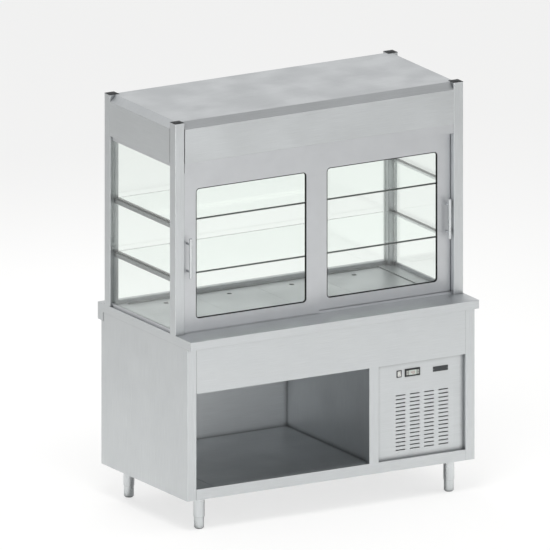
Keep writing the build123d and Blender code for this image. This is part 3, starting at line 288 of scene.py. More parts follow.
def brushed_steel(name, upright, base, roughness):
    """Stainless steel with a brushed grain, faint smears of wiping, and painted shade in its
    corners and joints.
    """
    material, tree = new_material(name)
    finish = settings()
    # The real grain is about 0.15 mm wide. It is drawn wider, so that it shows from a step away.
    grain = add_node(
        tree,
        "ShaderNodeTexNoise",
        {
            "Vector": sheet_coordinates(tree, finish.grain_length, finish.grain_width, upright),
            "Scale": 1.0,
            "Detail": 3.0,
            "Roughness": 0.6,
        },
    )
    smears = add_node(
        tree,
        "ShaderNodeTexNoise",
        {
            "Vector": add_node(tree, "ShaderNodeTexCoord").outputs["Object"],
            "Scale": 1 / finish.smear_size,
            "Detail": 2.0,
        },
    )
    tone = add_node(
        tree,
        "ShaderNodeMapRange",
        {"Value": grain.outputs["Fac"], "From Min": 0.3, "From Max": 0.7},
    )
    brushed = add_node(
        tree,
        "ShaderNodeMix",
        {0: tone.outputs[0], 6: [c * 0.86 for c in base[:3]] + [1.0], 7: base},
        data_type="RGBA",
    )
    # Painted shade: within a few centimetres of corners and joints, where the ambient occlusion
    # finds the steel hemmed in, its colour is darkened towards grey.
    openness = add_node(
        tree, "ShaderNodeAmbientOcclusion", {"Distance": finish.painted_shade_reach}, samples=8
    )
    painted_shade = add_node(
        tree,
        "ShaderNodeMapRange",
        {
            "Value": openness.outputs["AO"],
            "From Min": 0.35,
            "From Max": 0.95,
            "To Min": 0.6,
            "To Max": 0.0,
        },
    )
    # Mixes the brushed colour towards the grey of the painted shade
    steel = add_node(
        tree,
        "ShaderNodeMix",
        {0: painted_shade.outputs[0], 6: brushed.outputs[2], 7: colour("#4C4F51")},
        data_type="RGBA",
    )
    gloss = add_node(
        tree,
        "ShaderNodeMapRange",
        {
            "Value": smears.outputs["Fac"],
            "From Min": 0.35,
            "From Max": 0.65,
            "To Min": roughness,
            "To Max": roughness + 0.1,
        },
    )
    bump = add_node(
        tree,
        "ShaderNodeBump",
        {"Height": grain.outputs["Fac"], "Strength": 0.25, "Distance": 0.03 * MM},
    )
    shader = add_node(
        tree,
        "ShaderNodeBsdfPrincipled",
        {
            "Base Color": steel.outputs[2],
            "Metallic": 1.0,
            "Roughness": gloss.outputs[0],
            "Normal": bump.outputs[0],
        },
    )
    finish_material(tree, shader)
    return material


def galvanised_sheet():
    """Hot-dipped zinc on steel: flat grey crystals about 12 mm across."""
    material, tree = new_material("galvanised_sheet")
    place = add_node(tree, "ShaderNodeTexCoord").outputs["Object"]
    crystals = add_node(tree, "ShaderNodeTexVoronoi", {"Vector": place, "Scale": 1 / (12 * MM)})
    tone = add_node(tree, "ShaderNodeSeparateColor", {0: crystals.outputs["Color"]})
    zinc = add_node(
        tree,
        "ShaderNodeMix",
        {0: tone.outputs[0], 6: colour("#8F9496"), 7: colour("#B4B8B9")},
        data_type="RGBA",
    )
    gloss = add_node(
        tree,
        "ShaderNodeMapRange",
        {"Value": tone.outputs[1], "To Min": 0.35, "To Max": 0.55},
    )
    shader = add_node(
        tree,
        "ShaderNodeBsdfPrincipled",
        {"Base Color": zinc.outputs[2], "Metallic": 1.0, "Roughness": gloss.outputs[0]},
    )
    finish_material(tree, shader)
    return material


def anodised_aluminium():
    """Extruded aluminium, etched and clear anodised: an even satin with faint die lines."""
    material, tree = new_material("anodised_aluminium")
    lines = add_node(
        tree,
        "ShaderNodeTexNoise",
        {
            "Vector": sheet_coordinates(tree, DIE_LINE_LENGTH, DIE_LINE_WIDTH, False),
            "Scale": 1.0,
            "Detail": 2.0,
        },
    )
    bloom = add_node(
        tree,
        "ShaderNodeTexNoise",
        {
            "Vector": add_node(tree, "ShaderNodeTexCoord").outputs["Object"],
            "Scale": 1 / (90 * MM),
            "Detail": 2.0,
        },
    )
    base = list(settings().aluminium_colour) + [1.0]
    metal = add_node(
        tree,
        "ShaderNodeMix",
        {0: bloom.outputs["Fac"], 6: [c * 0.9 for c in base[:3]] + [1.0], 7: base},
        data_type="RGBA",
    )
    gloss = add_node(
        tree,
        "ShaderNodeMapRange",
        {
            "Value": lines.outputs["Fac"],
            "From Min": 0.3,
            "From Max": 0.7,
            "To Min": 0.34,
            "To Max": 0.46,
        },
    )
    bump = add_node(
        tree,
        "ShaderNodeBump",
        {"Height": lines.outputs["Fac"], "Strength": 0.15, "Distance": 0.02 * MM},
    )
    shader = add_node(
        tree,
        "ShaderNodeBsdfPrincipled",
        {
            "Base Color": metal.outputs[2],
            "Metallic": 1.0,
            "Roughness": gloss.outputs[0],
            "Normal": bump.outputs[0],
        },
    )
    finish_material(tree, shader)
    return material


def toughened_glass(axis):
    """Float glass, toughened: clear through its faces, and green where its ground edge shows."""
    material, tree = new_material(f"toughened_glass_{axis.lower()}")
    normal = add_node(tree, "ShaderNodeNewGeometry").outputs["True Normal"]
    facing = add_node(tree, "ShaderNodeSeparateXYZ", {0: normal})
    through = add_node(tree, "ShaderNodeMath", {0: facing.outputs[axis]}, operation="ABSOLUTE")
    tint = add_node(
        tree,
        "ShaderNodeMix",
        {0: through.outputs[0], 6: colour("#8FC2AE"), 7: colour("#FBFEFC")},
        data_type="RGBA",
    )
    wiped = add_node(
        tree,
        "ShaderNodeTexNoise",
        {
            "Vector": add_node(tree, "ShaderNodeTexCoord").outputs["Object"],
            "Scale": 1 / (70 * MM),
            "Detail": 3.0,
        },
    )
    smear = add_node(
        tree,
        "ShaderNodeMapRange",
        {
            "Value": wiped.outputs["Fac"],
            "From Min": 0.5,
            "From Max": 0.8,
            "To Min": 0.0,
            "To Max": 0.05,
        },
    )
    ground = add_node(
        tree,
        "ShaderNodeMix",
        {0: through.outputs[0], 2: 0.35, 3: smear.outputs[0]},
        data_type="FLOAT",
    )
    shader = add_node(
        tree,
        "ShaderNodeBsdfPrincipled",
        {
            "Base Color": tint.outputs[2],
            "Roughness": ground.outputs[0],
            "IOR": 1.5,
            "Transmission Weight": 1.0,
        },
    )
    finish_material(tree, shader)
    return material


def grained_plastic(name, hex_text, grain, roughness, depth):
    """Moulded plastic whose mould was spark-eroded: an even leathery grain."""
    material, tree = new_material(name)
    place = add_node(tree, "ShaderNodeTexCoord").outputs["Object"]
    pits = add_node(
        tree, "ShaderNodeTexNoise", {"Vector": place, "Scale": 1 / grain, "Detail": 4.0}
    )
    base = colour(hex_text)
    shade = add_node(
        tree,
        "ShaderNodeMix",
        {0: pits.outputs["Fac"], 6: [c * 0.8 for c in base[:3]] + [1.0], 7: base},
        data_type="RGBA",
    )
    gloss = add_node(
        tree,
        "ShaderNodeMapRange",
        {"Value": pits.outputs["Fac"], "To Min": roughness - 0.06, "To Max": roughness + 0.06},
    )
    bump = add_node(
        tree, "ShaderNodeBump", {"Height": pits.outputs["Fac"], "Strength": 0.3, "Distance": depth}
    )
    shader = add_node(
        tree,
        "ShaderNodeBsdfPrincipled",
        {
            "Base Color": shade.outputs[2],
            "Roughness": gloss.outputs[0],
            "IOR": 1.5,
            "Normal": bump.outputs[0],
        },
    )
    finish_material(tree, shader)
    return material


def finned_aluminium():
    """Aluminium fins pressed over tubes: fine upright lines, as close as real fins, with painted
    shade in the gaps between them.
    """
    material, tree = new_material("finned_aluminium")
    place = add_node(tree, "ShaderNodeTexCoord").outputs["Object"]
    # A wave texture of scale 1 has a band every pi / 10.
    fins = add_node(
        tree,
        "ShaderNodeTexWave",
        {"Vector": place, "Scale": math.pi / (10 * FIN_PITCH)},
        wave_type="BANDS",
        bands_direction="X",
    )
    dust = add_node(
        tree, "ShaderNodeTexNoise", {"Vector": place, "Scale": 1 / (35 * MM), "Detail": 3.0}
    )
    # Painted shade: the dark grey bands stand for the shade in the gaps between the fins, the pale
    # ones for the fins' edges.
    metal = add_node(
        tree,
        "ShaderNodeMix",
        {0: fins.outputs["Fac"], 6: colour("#5E6163"), 7: colour("#C4C7C8")},
        data_type="RGBA",
    )
    gloss = add_node(
        tree,
        "ShaderNodeMapRange",
        {"Value": dust.outputs["Fac"], "To Min": 0.35, "To Max": 0.6},
    )
    bump = add_node(
        tree, "ShaderNodeBump", {"Height": fins.outputs["Fac"], "Strength": 0.8, "Distance": 1 * MM}
    )
    shader = add_node(
        tree,
        "ShaderNodeBsdfPrincipled",
        {
            "Base Color": metal.outputs[2],
            "Metallic": 1.0,
            "Roughness": gloss.outputs[0],
            "Normal": bump.outputs[0],
        },
    )
    finish_material(tree, shader)
    return material


def drawn_copper():
    """Drawn copper tube, darkened in patches by handling and air."""
    material, tree = new_material("drawn_copper")
    place = add_node(tree, "ShaderNodeTexCoord").outputs["Object"]
    patches = add_node(
        tree, "ShaderNodeTexNoise", {"Vector": place, "Scale": 1 / (40 * MM), "Detail": 4.0}
    )
    metal = add_node(
        tree,
        "ShaderNodeMix",
        {0: patches.outputs["Fac"], 6: colour("#7A4A33"), 7: colour("#D08A64")},
        data_type="RGBA",
    )
    gloss = add_node(
        tree,
        "ShaderNodeMapRange",
        {"Value": patches.outputs["Fac"], "To Min": 0.45, "To Max": 0.25},
    )
    shader = add_node(
        tree,
        "ShaderNodeBsdfPrincipled",
        {"Base Color": metal.outputs[2], "Metallic": 1.0, "Roughness": gloss.outputs[0]},
    )
    finish_material(tree, shader)
    return material


def opal_diffuser():
    """Opal polycarbonate over lamps: an even pale glow with a satin skin."""
    material, tree = new_material("opal_polycarbonate")
    place = add_node(tree, "ShaderNodeTexCoord").outputs["Object"]
    haze = add_node(
        tree, "ShaderNodeTexNoise", {"Vector": place, "Scale": 1 / (60 * MM), "Detail": 2.0}
    )
    skin = add_node(
        tree,
        "ShaderNodeMix",
        {0: haze.outputs["Fac"], 6: colour("#E9EBE8"), 7: colour("#FAFBF9")},
        data_type="RGBA",
    )
    shader = add_node(
        tree,
        "ShaderNodeBsdfPrincipled",
        {
            "Base Color": skin.outputs[2],
            "Roughness": 0.4,
            "Emission Color": colour("#FFFDF6"),
            "Emission Strength": settings().lamp_strength,
        },
    )
    finish_material(tree, shader)
    return material


def expanded_foam():
    """Polyurethane foam, sprayed and set: straw-coloured, with closed cells about 2 mm across."""
    material, tree = new_material("polyurethane_foam")
    place = add_node(tree, "ShaderNodeTexCoord").outputs["Object"]
    cells = add_node(tree, "ShaderNodeTexVoronoi", {"Vector": place, "Scale": 1 / (2 * MM)})
    body = add_node(
        tree,
        "ShaderNodeMix",
        {0: cells.outputs["Distance"], 6: colour("#E2CE94"), 7: colour("#BFA565")},
        data_type="RGBA",
    )
    bump = add_node(
        tree,
        "ShaderNodeBump",
        {"Height": cells.outputs["Distance"], "Strength": 0.5, "Distance": 1 * MM},
    )
    shader = add_node(
        tree,
        "ShaderNodeBsdfPrincipled",
        {"Base Color": body.outputs[2], "Roughness": 0.9, "Normal": bump.outputs[0]},
    )
    finish_material(tree, shader)
    return material


def smoked_acrylic():
    """Cast acrylic, tinted grey, that carries the controller's figures: glossy, faintly wiped."""
    material, tree = new_material("smoked_acrylic")
    place = add_node(tree, "ShaderNodeTexCoord").outputs["Object"]
    marks = add_node(
        tree, "ShaderNodeTexNoise", {"Vector": place, "Scale": 1 / (4 * MM), "Detail": 3.0}
    )
    gloss = add_node(
        tree,
        "ShaderNodeMapRange",
        {"Value": marks.outputs["Fac"], "To Min": 0.05, "To Max": 0.18},
    )
    tint = add_node(
        tree,
        "ShaderNodeMix",
        {0: marks.outputs["Fac"], 6: colour("#AEB5B0"), 7: colour("#C2C9C4")},
        data_type="RGBA",
    )
    shader = add_node(
        tree,
        "ShaderNodeBsdfPrincipled",
        {"Base Color": tint.outputs[2], "Roughness": gloss.outputs[0], "IOR": 1.49},
    )
    finish_material(tree, shader)
    return material


def lit_diodes():
    """Light-emitting diodes under a red filter: dark red bars that glow a little, unevenly."""
    material, tree = new_material("lit_figures")
    place = add_node(tree, "ShaderNodeTexCoord").outputs["Object"]
    patches = add_node(tree, "ShaderNodeTexNoise", {"Vector": place, "Scale": 1 / FIGURE_STROKE})
    red = add_node(
        tree,
        "ShaderNodeMix",
        {0: patches.outputs["Fac"], 6: colour("#5C0F06"), 7: colour("#8E1A0C")},
        data_type="RGBA",
    )
    shader = add_node(
        tree,
        "ShaderNodeBsdfPrincipled",
        {
            "Base Color": red.outputs[2],
            "Roughness": 0.3,
            "Emission Color": colour("#8E1A0C"),
            "Emission Strength": 0.25,
        },
    )
    finish_material(tree, shader)
    return material


def new_piece(name, mesh, body, material):
    """Makes a mesh piece in the scene that rides on a body."""
    piece = bpy.data.objects.new(name, mesh)
    bpy.context.scene.collection.objects.link(piece)
    mesh.materials.append(material)
    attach(piece, body)
    return piece


def finish_mesh(work, name, place):
    """Turns the faces outwards, moves the work to its place and makes a mesh of it."""
    bmesh.ops.recalc_face_normals(work, faces=work.faces)
    bmesh.ops.transform(work, matrix=place, verts=work.verts)
    mesh = bpy.data.meshes.new(name)
    work.to_mesh(mesh)
    work.free()
    return mesh


def flat_prism(name, outlines, depth, place, bevel=0.0):
    """A mesh of flat outlines in the XZ plane, each thickened towards the operator and bevelled."""
    work = bmesh.new()
    for outline in outlines:
        lower = [work.verts.new((x, 0, z)) for x, z in outline]
        upper = [work.verts.new((x, -depth, z)) for x, z in outline]
        work.faces.new(lower)
        front = work.faces.new(upper[::-1])
        for i in range(len(outline)):
            j = (i + 1) % len(outline)
            work.faces.new((lower[j], lower[i], upper[i], upper[j]))
        if bevel:
            bmesh.ops.bevel(
                work, geom=list(front.edges), offset=bevel, segments=2, affect="EDGES", profile=0.6
            )
    return finish_mesh(work, name, place)


def join_rings(work, here, there):
    """Closes the gap between two rings of points with a band of faces."""
    for i in range(len(here)):
        j = (i + 1) % len(here)
        work.faces.new((here[i], here[j], there[j], there[i]))


def flat_ring(name, outer, inner, depth, level, place, steps=32):
    """A flat ring in the XZ plane at the given level, thickened towards the operator."""
    work = bmesh.new()
    turns = [2 * math.pi * i / steps for i in range(steps)]
    rings = []
    for radius, y in ((outer, 0), (outer, -depth), (inner, -depth), (inner, 0)):
        corners = [(radius * math.cos(turn), y, level + radius * math.sin(turn)) for turn in turns]
        rings.append([work.verts.new(corner) for corner in corners])
    for here, there in zip(rings, rings[1:] + rings[:1]):
        join_rings(work, here, there)
    return finish_mesh(work, name, place)


def hexagon_screw(work, x, y, top):
    """Adds a hexagon screw with a collar, whose head hangs down from the level top."""
    turns = [2 * math.pi * i / HEXAGON_SIDES for i in range(HEXAGON_SIDES)]
    rings = []
    for radius, drop in SCREW_PROFILE:
        corners = [
            (x + radius * math.cos(turn), y + radius * math.sin(turn), top - drop) for turn in turns
        ]
        rings.append([work.verts.new(corner) for corner in corners])
    for here, there in zip(rings, rings[1:]):
        join_rings(work, here, there)
    work.faces.new(rings[0])
    work.faces.new(rings[-1][::-1])


def rounded_outline(width, height, radius, steps=6):
    """The outline of a rectangle with rounded corners, about its middle."""
    outline = []
    for quarter, (sx, sz) in enumerate(((1, 1), (-1, 1), (-1, -1), (1, -1))):
        for step in range(steps + 1):
            angle = math.radians(90 * quarter + 90 * step / steps)
            outline.append(
                (
                    sx * (width / 2 - radius) + radius * math.cos(angle),
                    sz * (height / 2 - radius) + radius * math.sin(angle),
                )
            )
    return outline


def segment_outline(letter, width, height, stroke):
    """One bar, pointed at both ends, of a seven-bar figure whose middle is the origin."""
    half_w, half_h = width / 2, height / 4
    centres = {
        "a": (0, 2 * half_h, True),
        "g": (0, 0, True),
        "d": (0, -2 * half_h, True),
        "f": (-half_w, half_h, False),
        "b": (half_w, half_h, False),
        "e": (-half_w, -half_h, False),
        "c": (half_w, -half_h, False),
    }
    x, z, level = centres[letter]
    long_half = (half_w if level else half_h) - stroke * 0.2
    short_half = stroke / 2
    bar = [
        (-long_half, 0),
        (-long_half + short_half, short_half),
        (long_half - short_half, short_half),
        (long_half, 0),
        (long_half - short_half, -short_half),
        (-long_half + short_half, -short_half),
    ]
    if not level:
        bar = [(b, a) for a, b in bar]
    return [(x + a, z + b) for a, b in bar]


def middle_and_low(node):
    """The middle of a node's box, and its low corner."""
    low, high = (Vector(corner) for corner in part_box(node))
    return (low + high) / 2, low


class CounterFinish(bpy.types.PropertyGroup):
    """Sizes and colours of the counter's finishes and small fittings."""

    steel_colour: FloatVectorProperty(
        name="Steel",
        description="Colour of the brushed stainless sheet",
        subtype="COLOR",
        size=3,
        min=0,
        max=1,
        default=colour("#CDD0D2")[:3],
    )
    aluminium_colour: FloatVectorProperty(
        name="Aluminium",
        description="Colour of the anodised extrusions and door frames",
        subtype="COLOR",
        size=3,
        min=0,
        max=1,
        default=colour("#CACCCF")[:3],
    )
    grain_length: FloatProperty(
        name="Grain length",
        description="Length of one brushed scratch",
        subtype="DISTANCE",
        default=120 * MM,
    )
    grain_width: FloatProperty(
        name="Grain width",
        description="Width of one brushed scratch",
        subtype="DISTANCE",
        default=1.0 * MM,
    )
    smear_size: FloatProperty(
        name="Smear size",
        description="Size of the marks that wiping leaves",
        subtype="DISTANCE",
        default=160 * MM,
    )
    # How far the painted shade reaches out of corners and joints, darkening the steel towards grey
    painted_shade_reach: FloatProperty(
        name="Film reach",
        description="How far the grey film reaches out of corners and joints",
        subtype="DISTANCE",
        default=24 * MM,
    )
    lamp_strength: FloatProperty(
        name="Lamp", description="Glow of the light under the ceiling", default=1.6, min=0
    )
    plate_width: FloatProperty(
        name="Plate width",
        description="Width of the bare plate beside the controller",
        subtype="DISTANCE",
        default=78 * MM,
    )
    plate_height: FloatProperty(
        name="Plate height",
        description="Height of the bare plate beside the controller",
        subtype="DISTANCE",
        default=24 * MM,
    )
    figures: StringProperty(
        name="Figures",
        description="Temperature that the controller shows, without the point in its middle",
        default="40",
    )


class COUNTER_OT_steelwork(bpy.types.Operator):
    """Finishes the stainless sheets, posts, legs and handles"""

    bl_idname = "counter.steelwork"
    bl_label = "Steelwork"

    def execute(self, context):
        steel = list(settings().steel_colour) + [1.0]
        level = brushed_steel("brushed_stainless_level", False, steel, SHEET_ROUGHNESS)
        dress(LEVEL_STEEL_NODES, level)
        upright = brushed_steel("brushed_stainless_upright", True, steel, SHEET_ROUGHNESS)
        dress(UPRIGHT_STEEL_NODES, upright)
        bright = [min(1.0, c * 1.08) for c in steel[:3]] + [1.0]
        polished = brushed_steel("polished_stainless_tube", True, bright, TUBE_ROUGHNESS)
        dress(POLISHED_STEEL_NODES, polished)
        return {"FINISHED"}


class COUNTER_OT_extrusions(bpy.types.Operator):
    """Finishes the door frames, their rail and track, and the glazing channels"""

    bl_idname = "counter.extrusions"
    bl_label = "Extrusions"

    def execute(self, context):
        dress(ALUMINIUM_NODES, anodised_aluminium())
        return {"FINISHED"}


class COUNTER_OT_glazing(bpy.types.Operator):
    """Finishes the fixed panes, the doors' panes and the shelves, and the doors' seals"""

    bl_idname = "counter.glazing"
    bl_label = "Glazing"

    def execute(self, context):
        for axis, names in GLASS_NODES.items():
            dress(names, toughened_glass(axis))
        # EPDM rubber, extruded: matt black with a faint talc bloom.
        seal = grained_plastic("epdm_rubber", "#191A1B", 0.8 * MM, 0.75, 0.05 * MM)
        dress(("left_door_gasket", "right_door_gasket"), seal)
        return {"FINISHED"}


class COUNTER_OT_mouldings(bpy.types.Operator):
    """Finishes the plastic cases, caps, keys, fans and the drain"""

    bl_idname = "counter.mouldings"
    bl_label = "Mouldings"

    def execute(self, context):
        # ABS, moulded black with a fine spark grain that takes the gloss off.
        black = grained_plastic("black_abs", "#1D1F21", 0.9 * MM, 0.6, 0.04 * MM)
        dress(BLACK_PLASTIC_NODES, black)
        # ABS, moulded pale, with the smooth skin that a finger presses.
        pale = grained_plastic("pale_abs", "#D9DAD6", 1.5 * MM, 0.32, 0.01 * MM)
        dress(("switch_rocker",), pale)
        # ABS, moulded grey, a little duller than the rocker.
        grey = grained_plastic("grey_abs", "#9EA09C", 1.5 * MM, 0.4, 0.01 * MM)
        dress(KEY_NODES, grey)
        # PVC pipe, extruded: dull pale grey.
        pipe = grained_plastic("extruded_pvc", "#B9BCBC", 3 * MM, 0.45, 0.01 * MM)
        dress(("well_drain",), pipe)
        dress(("controller_lens",), smoked_acrylic())
        return {"FINISHED"}


class COUNTER_OT_machinery(bpy.types.Operator):
    """Finishes the condensing unit, the evaporator, the pipes, the foam and the lamp"""

    bl_idname = "counter.machinery"
    bl_label = "Machinery"

    def execute(self, context):
        dress(GALVANISED_NODES, galvanised_sheet())
        dress(COIL_NODES, finned_aluminium())
        dress(("condenser_fan",), anodised_aluminium())
        # Black enamel, stoved on a pressed steel can: a slight orange-peel under a gloss.
        enamel = grained_plastic("black_enamel", "#17181A", 3 * MM, 0.22, 0.05 * MM)
        dress(("compressor",), enamel)
        dress(("refrigerant_pipes",), drawn_copper())
        dress(("well_insulation",), expanded_foam())
        dress(("ceiling_light",), opal_diffuser())
        return {"FINISHED"}


class COUNTER_OT_bare_plate(bpy.types.Operator):
    """Adds the bare plate on the louvred panel, held by two rivets"""

    bl_idname = "counter.bare_plate"
    bl_label = "Bare plate"

    def execute(self, context):
        width, height = settings().plate_width, settings().plate_height
        panel_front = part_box("louvred_panel")[0][1]
        place = Matrix.Translation((PLATE_X, panel_front, PLATE_Z))
        outline = rounded_outline(width, height, PLATE_CORNER)
        plate = flat_prism("bare_plate", [outline], PLATE_THICKNESS, place, PLATE_BEVEL)
        # Aluminium plate, rolled and lacquered dark: a dull skin with little grain.
        dark = grained_plastic("lacquered_plate", "#303336", 2 * MM, 0.45, 0.01 * MM)
        new_piece("bare_plate", plate, "counter", dark)
        rivets = []
        for side in (-1, 1):
            head = rounded_outline(RIVET_WIDTH, RIVET_WIDTH, RIVET_WIDTH / 2)
            rivets.append([(side * (width / 2 - RIVET_INSET) + x, z) for x, z in head])
        place = Matrix.Translation((PLATE_X, panel_front - PLATE_THICKNESS, PLATE_Z))
        heads = flat_prism("plate_rivets", rivets, RIVET_THICKNESS, place, RIVET_BEVEL)
        steel = brushed_steel("riveted_steel", True, colour("#B9BDC0"), 0.2)
        new_piece("plate_rivets", heads, "counter", steel)
        return {"FINISHED"}


class COUNTER_OT_figures(bpy.types.Operator):
    """Adds the lit figures to the controller's lens"""

    bl_idname = "counter.figures"
    bl_label = "Figures"

    def execute(self, context):
        middle, low = middle_and_low("controller_lens")
        text = settings().figures
        outlines = []
        for i, digit in enumerate(text):
            shift = (i - (len(text) - 1) / 2) * FIGURE_PITCH
            for letter in SEGMENTS[digit]:
                bar = segment_outline(letter, FIGURE_WIDTH, FIGURE_HEIGHT, FIGURE_STROKE)
                outlines.append([(shift + a, b) for a, b in bar])
        point = rounded_outline(POINT_WIDTH, POINT_WIDTH, POINT_WIDTH / 2)
        outlines.append([(a, b - FIGURE_HEIGHT / 2) for a, b in point])
        place = Matrix.Translation((middle.x, low.y, middle.z))
        figures = flat_prism("controller_figures", outlines, FIGURE_THICKNESS, place)
        new_piece("controller_figures", figures, "counter", lit_diodes())
        return {"FINISHED"}


class COUNTER_OT_key_marks(bpy.types.Operator):
    """Adds an arrow on each key, and the line and ring on the rocker"""

    bl_idname = "counter.key_marks"
    bl_label = "Key and rocker marks"

    def execute(self, context):
        # Screen ink, printed nearly black: an even satin film.
        ink = grained_plastic("printed_ink", "#2B2D2F", 1 * MM, 0.4, 0.01 * MM)
        for side, up in (("left", -1), ("right", 1)):
            middle, low = middle_and_low(f"controller_key_{side}")
            arrow = [
                (-ARROW_HALF_WIDTH, -ARROW_FOOT * up),
                (ARROW_HALF_WIDTH, -ARROW_FOOT * up),
                (0, ARROW_TIP * up),
            ]
            place = Matrix.Translation((middle.x, low.y, middle.z))
            mesh = flat_prism(f"arrow_{side}", [arrow], ARROW_THICKNESS, place)
            new_piece(f"key_arrow_{side}", mesh, f"key_{side}", ink)
        joint = next(j for j in frame["joints"] if j["name"] == "switch_rock")
        pivot = Matrix.Translation(Vector(joint["pos_m"]))
        tilt = Matrix.Rotation(ROCKER_TILT, 4, "X")
        place = pivot @ tilt @ Matrix.Translation((0, -ROCKER_FACE, 0))
        line = rounded_outline(ROCKER_LINE_WIDTH, ROCKER_LINE_HEIGHT, ROCKER_LINE_CORNER)
        line = [(a, b + ROCKER_MARK_OFFSET) for a, b in line]
        mark = flat_prism("rocker_line", [line], ROCKER_MARK_THICKNESS, place)
        new_piece("rocker_line", mark, "rocker", ink)
        ring = flat_ring(
            "rocker_ring",
            ROCKER_RING_OUTER,
            ROCKER_RING_INNER,
            ROCKER_MARK_THICKNESS,
            -ROCKER_MARK_OFFSET,
            place,
        )
        new_piece("rocker_ring", ring, "rocker", ink)
        return {"FINISHED"}


class COUNTER_OT_leg_screws(bpy.types.Operator):
    """Adds the hexagon screws that hold the legs' flanges under the floor"""

    bl_idname = "counter.leg_screws"
    bl_label = "Leg screws"

    def execute(self, context):
        flange_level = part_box("leg_tubes")[1][2] - LEG_FLANGE_THICKNESS
        work = bmesh.new()
        for name in ("front_left", "front_right", "rear_left", "rear_right"):
            middle, _ = middle_and_low(f"foot_{name}")
            for sx in (-1, 1):
                for sy in (-1, 1):
                    x, y = middle.x + sx * SCREW_OFFSET, middle.y + sy * SCREW_OFFSET
                    hexagon_screw(work, x, y, flange_level)
        mesh = finish_mesh(work, "leg_screws", Matrix.Identity(4))
        steel = brushed_steel("turned_steel", False, colour("#A9ADB0"), 0.3)
        new_piece("leg_screws", mesh, "counter", steel)
        return {"FINISHED"}


def seen_by_camera(tree, path):
    """One for rays that the camera sends, straight or through glass, and zero for others."""
    seen = add_node(
        tree,
        "ShaderNodeMath",
        {0: path.outputs["Is Camera Ray"], 1: path.outputs["Is Transmission Ray"]},
        operation="MAXIMUM",
    )
    return seen.outputs[0]


def studio_world():
    """A plain pale world, which the camera sees white."""
    world = bpy.data.worlds.new("pale_studio")
    world.use_nodes = True
    tree = world.node_tree
    tree.nodes.clear()
    white = colour("#FFFFFF")
    path = add_node(tree, "ShaderNodeLightPath")
    # In reflections the sky is bright low down and dimmer overhead, so that faces stand apart.
    direction = add_node(tree, "ShaderNodeTexCoord").outputs["Generated"]
    towards = add_node(tree, "ShaderNodeSeparateXYZ", {0: direction})
    glow = add_node(
        tree,
        "ShaderNodeMapRange",
        {
            "Value": towards.outputs["Z"],
            "From Min": 0.2,
            "From Max": 0.8,
            "To Min": 1.15,
            "To Max": 0.55,
        },
    )
    lighting = add_node(tree, "ShaderNodeBackground", {"Color": white, "Strength": 0.6})
    mirrored = add_node(
        tree, "ShaderNodeBackground", {"Color": white, "Strength": glow.outputs[0]}
    )
    backdrop = add_node(tree, "ShaderNodeBackground", {"Color": white, "Strength": 1.0})
    unseen = add_node(
        tree,
        "ShaderNodeMixShader",
        {0: path.outputs["Is Glossy Ray"], 1: lighting.outputs[0], 2: mirrored.outputs[0]},
    )
    surface = add_node(
        tree,
        "ShaderNodeMixShader",
        {0: seen_by_camera(tree, path), 1: unseen.outputs[0], 2: backdrop.outputs[0]},
    )
    add_node(tree, "ShaderNodeOutputWorld", {"Surface": surface.outputs[0]})
    return world


def studio_floor():
    """A pale painted floor that keeps the counter's shadow, and is nearly white elsewhere."""
    work = bmesh.new()
    bmesh.ops.create_grid(work, x_segments=8, y_segments=8, size=FLOOR_HALF_SIDE)
    mesh = bpy.data.meshes.new("studio_floor")
    work.to_mesh(mesh)
    work.free()
    floor = bpy.data.objects.new("studio_floor", mesh)
    bpy.context.scene.collection.objects.link(floor)
    material, tree = new_material("painted_floor")
    path = add_node(tree, "ShaderNodeLightPath")
    share = add_node(
        tree,
        "ShaderNodeMath",
        {0: seen_by_camera(tree, path), 1: FLOOR_WHITENESS},
        operation="MULTIPLY",
    )
    paint = add_node(
        tree, "ShaderNodeBsdfPrincipled", {"Base Color": colour("#F2F2F0"), "Roughness": 0.8}
    )
    glow = add_node(tree, "ShaderNodeEmission", {"Color": colour("#FFFFFF"), "Strength": 1.0})
    surface = add_node(
        tree,
        "ShaderNodeMixShader",
        {0: share.outputs[0], 1: paint.outputs[0], 2: glow.outputs[0]},
    )
    finish_material(tree, surface)
    mesh.materials.append(material)


def studio_lamps():
    """Soft square lamps. Glass never shows them, and metal only those that leave no white patch."""
    for name, place, side, power, mirrored in LAMPS:
        data = bpy.data.lights.new(name, "AREA")
        data.size = side
        data.energy = power
        lamp = bpy.data.objects.new(name, data)
        lamp.location = place
        lamp.visible_glossy = mirrored
        lamp.visible_transmission = False
        aim = Vector(LAMPS_AIM) - Vector(place)
        lamp.rotation_euler = aim.to_track_quat("-Z", "Y").to_euler()
        bpy.context.scene.collection.objects.link(lamp)


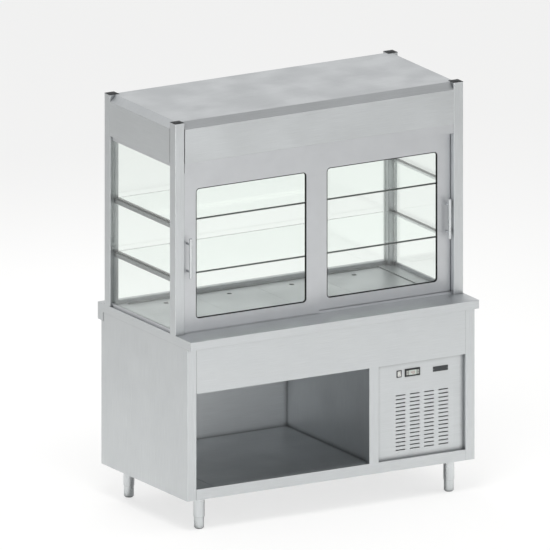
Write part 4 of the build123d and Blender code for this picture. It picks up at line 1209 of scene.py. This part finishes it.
def photograph_camera():
    """A parallel camera that puts the worktop's near left corner where the photograph has it."""
    sin_a, cos_a = math.sin(VIEW_AZIMUTH), math.cos(VIEW_AZIMUTH)
    sin_e, cos_e = math.sin(VIEW_ELEVATION), math.cos(VIEW_ELEVATION)
    right = Vector((cos_a, -sin_a, 0))
    up = Vector((sin_a * sin_e, cos_a * sin_e, cos_e))
    back = Vector((-sin_a * cos_e, -cos_a * cos_e, sin_e))
    low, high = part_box("worktop")
    corner = Vector((low[0], low[1], high[2]))
    across = (IMAGE_SIDE / 2 - CORNER_PIXEL[0]) / PIXELS_PER_METRE
    above = (CORNER_PIXEL[1] - IMAGE_SIDE / 2) / PIXELS_PER_METRE
    data = bpy.data.cameras.new("photograph_view")
    data.type = "ORTHO"
    data.ortho_scale = IMAGE_SIDE / PIXELS_PER_METRE
    data.clip_end = CAMERA_REACH
    camera = bpy.data.objects.new("photograph_view", data)
    place = corner + across * right + above * up + CAMERA_DISTANCE * back
    turn = Matrix((right, up, back)).transposed()
    camera.matrix_world = Matrix.Translation(place) @ turn.to_4x4()
    bpy.context.scene.collection.objects.link(camera)
    return camera


class COUNTER_OT_studio(bpy.types.Operator):
    """Adds the floor, the lamps, the world and the camera at the photograph's view"""

    bl_idname = "counter.studio"
    bl_label = "Studio"

    def execute(self, context):
        scene = context.scene
        scene.view_settings.view_transform = "Standard"
        scene.world = studio_world()
        studio_floor()
        studio_lamps()
        scene.camera = photograph_camera()
        return {"FINISHED"}


class COUNTER_PT_panel(bpy.types.Panel):
    """Lists the counter's sizes, colours and steps"""

    bl_label = "Display counter"
    bl_idname = "COUNTER_PT_panel"
    bl_space_type = "VIEW_3D"
    bl_region_type = "UI"
    bl_category = "Counter"

    def draw(self, context):
        for name in CounterFinish.__annotations__:
            self.layout.prop(context.scene.counter_finish, name)
        for operator in OPERATORS:
            self.layout.operator(operator.bl_idname)


OPERATORS = (
    COUNTER_OT_steelwork,
    COUNTER_OT_extrusions,
    COUNTER_OT_glazing,
    COUNTER_OT_mouldings,
    COUNTER_OT_machinery,
    COUNTER_OT_bare_plate,
    COUNTER_OT_figures,
    COUNTER_OT_key_marks,
    COUNTER_OT_leg_screws,
    COUNTER_OT_studio,
)
CLASSES = (CounterFinish, *OPERATORS, COUNTER_PT_panel)


def register():
    for item in CLASSES:
        bpy.utils.register_class(item)
    bpy.types.Scene.counter_finish = PointerProperty(type=CounterFinish)


def unregister():
    del bpy.types.Scene.counter_finish
    for item in reversed(CLASSES):
        bpy.utils.unregister_class(item)


def main():
    register()
    bpy.ops.counter.steelwork()
    bpy.ops.counter.extrusions()
    bpy.ops.counter.glazing()
    bpy.ops.counter.mouldings()
    bpy.ops.counter.machinery()
    bpy.ops.counter.bare_plate()
    bpy.ops.counter.figures()
    bpy.ops.counter.key_marks()
    bpy.ops.counter.leg_screws()
    bpy.ops.counter.studio()


if __name__ == "__main__":
    main()
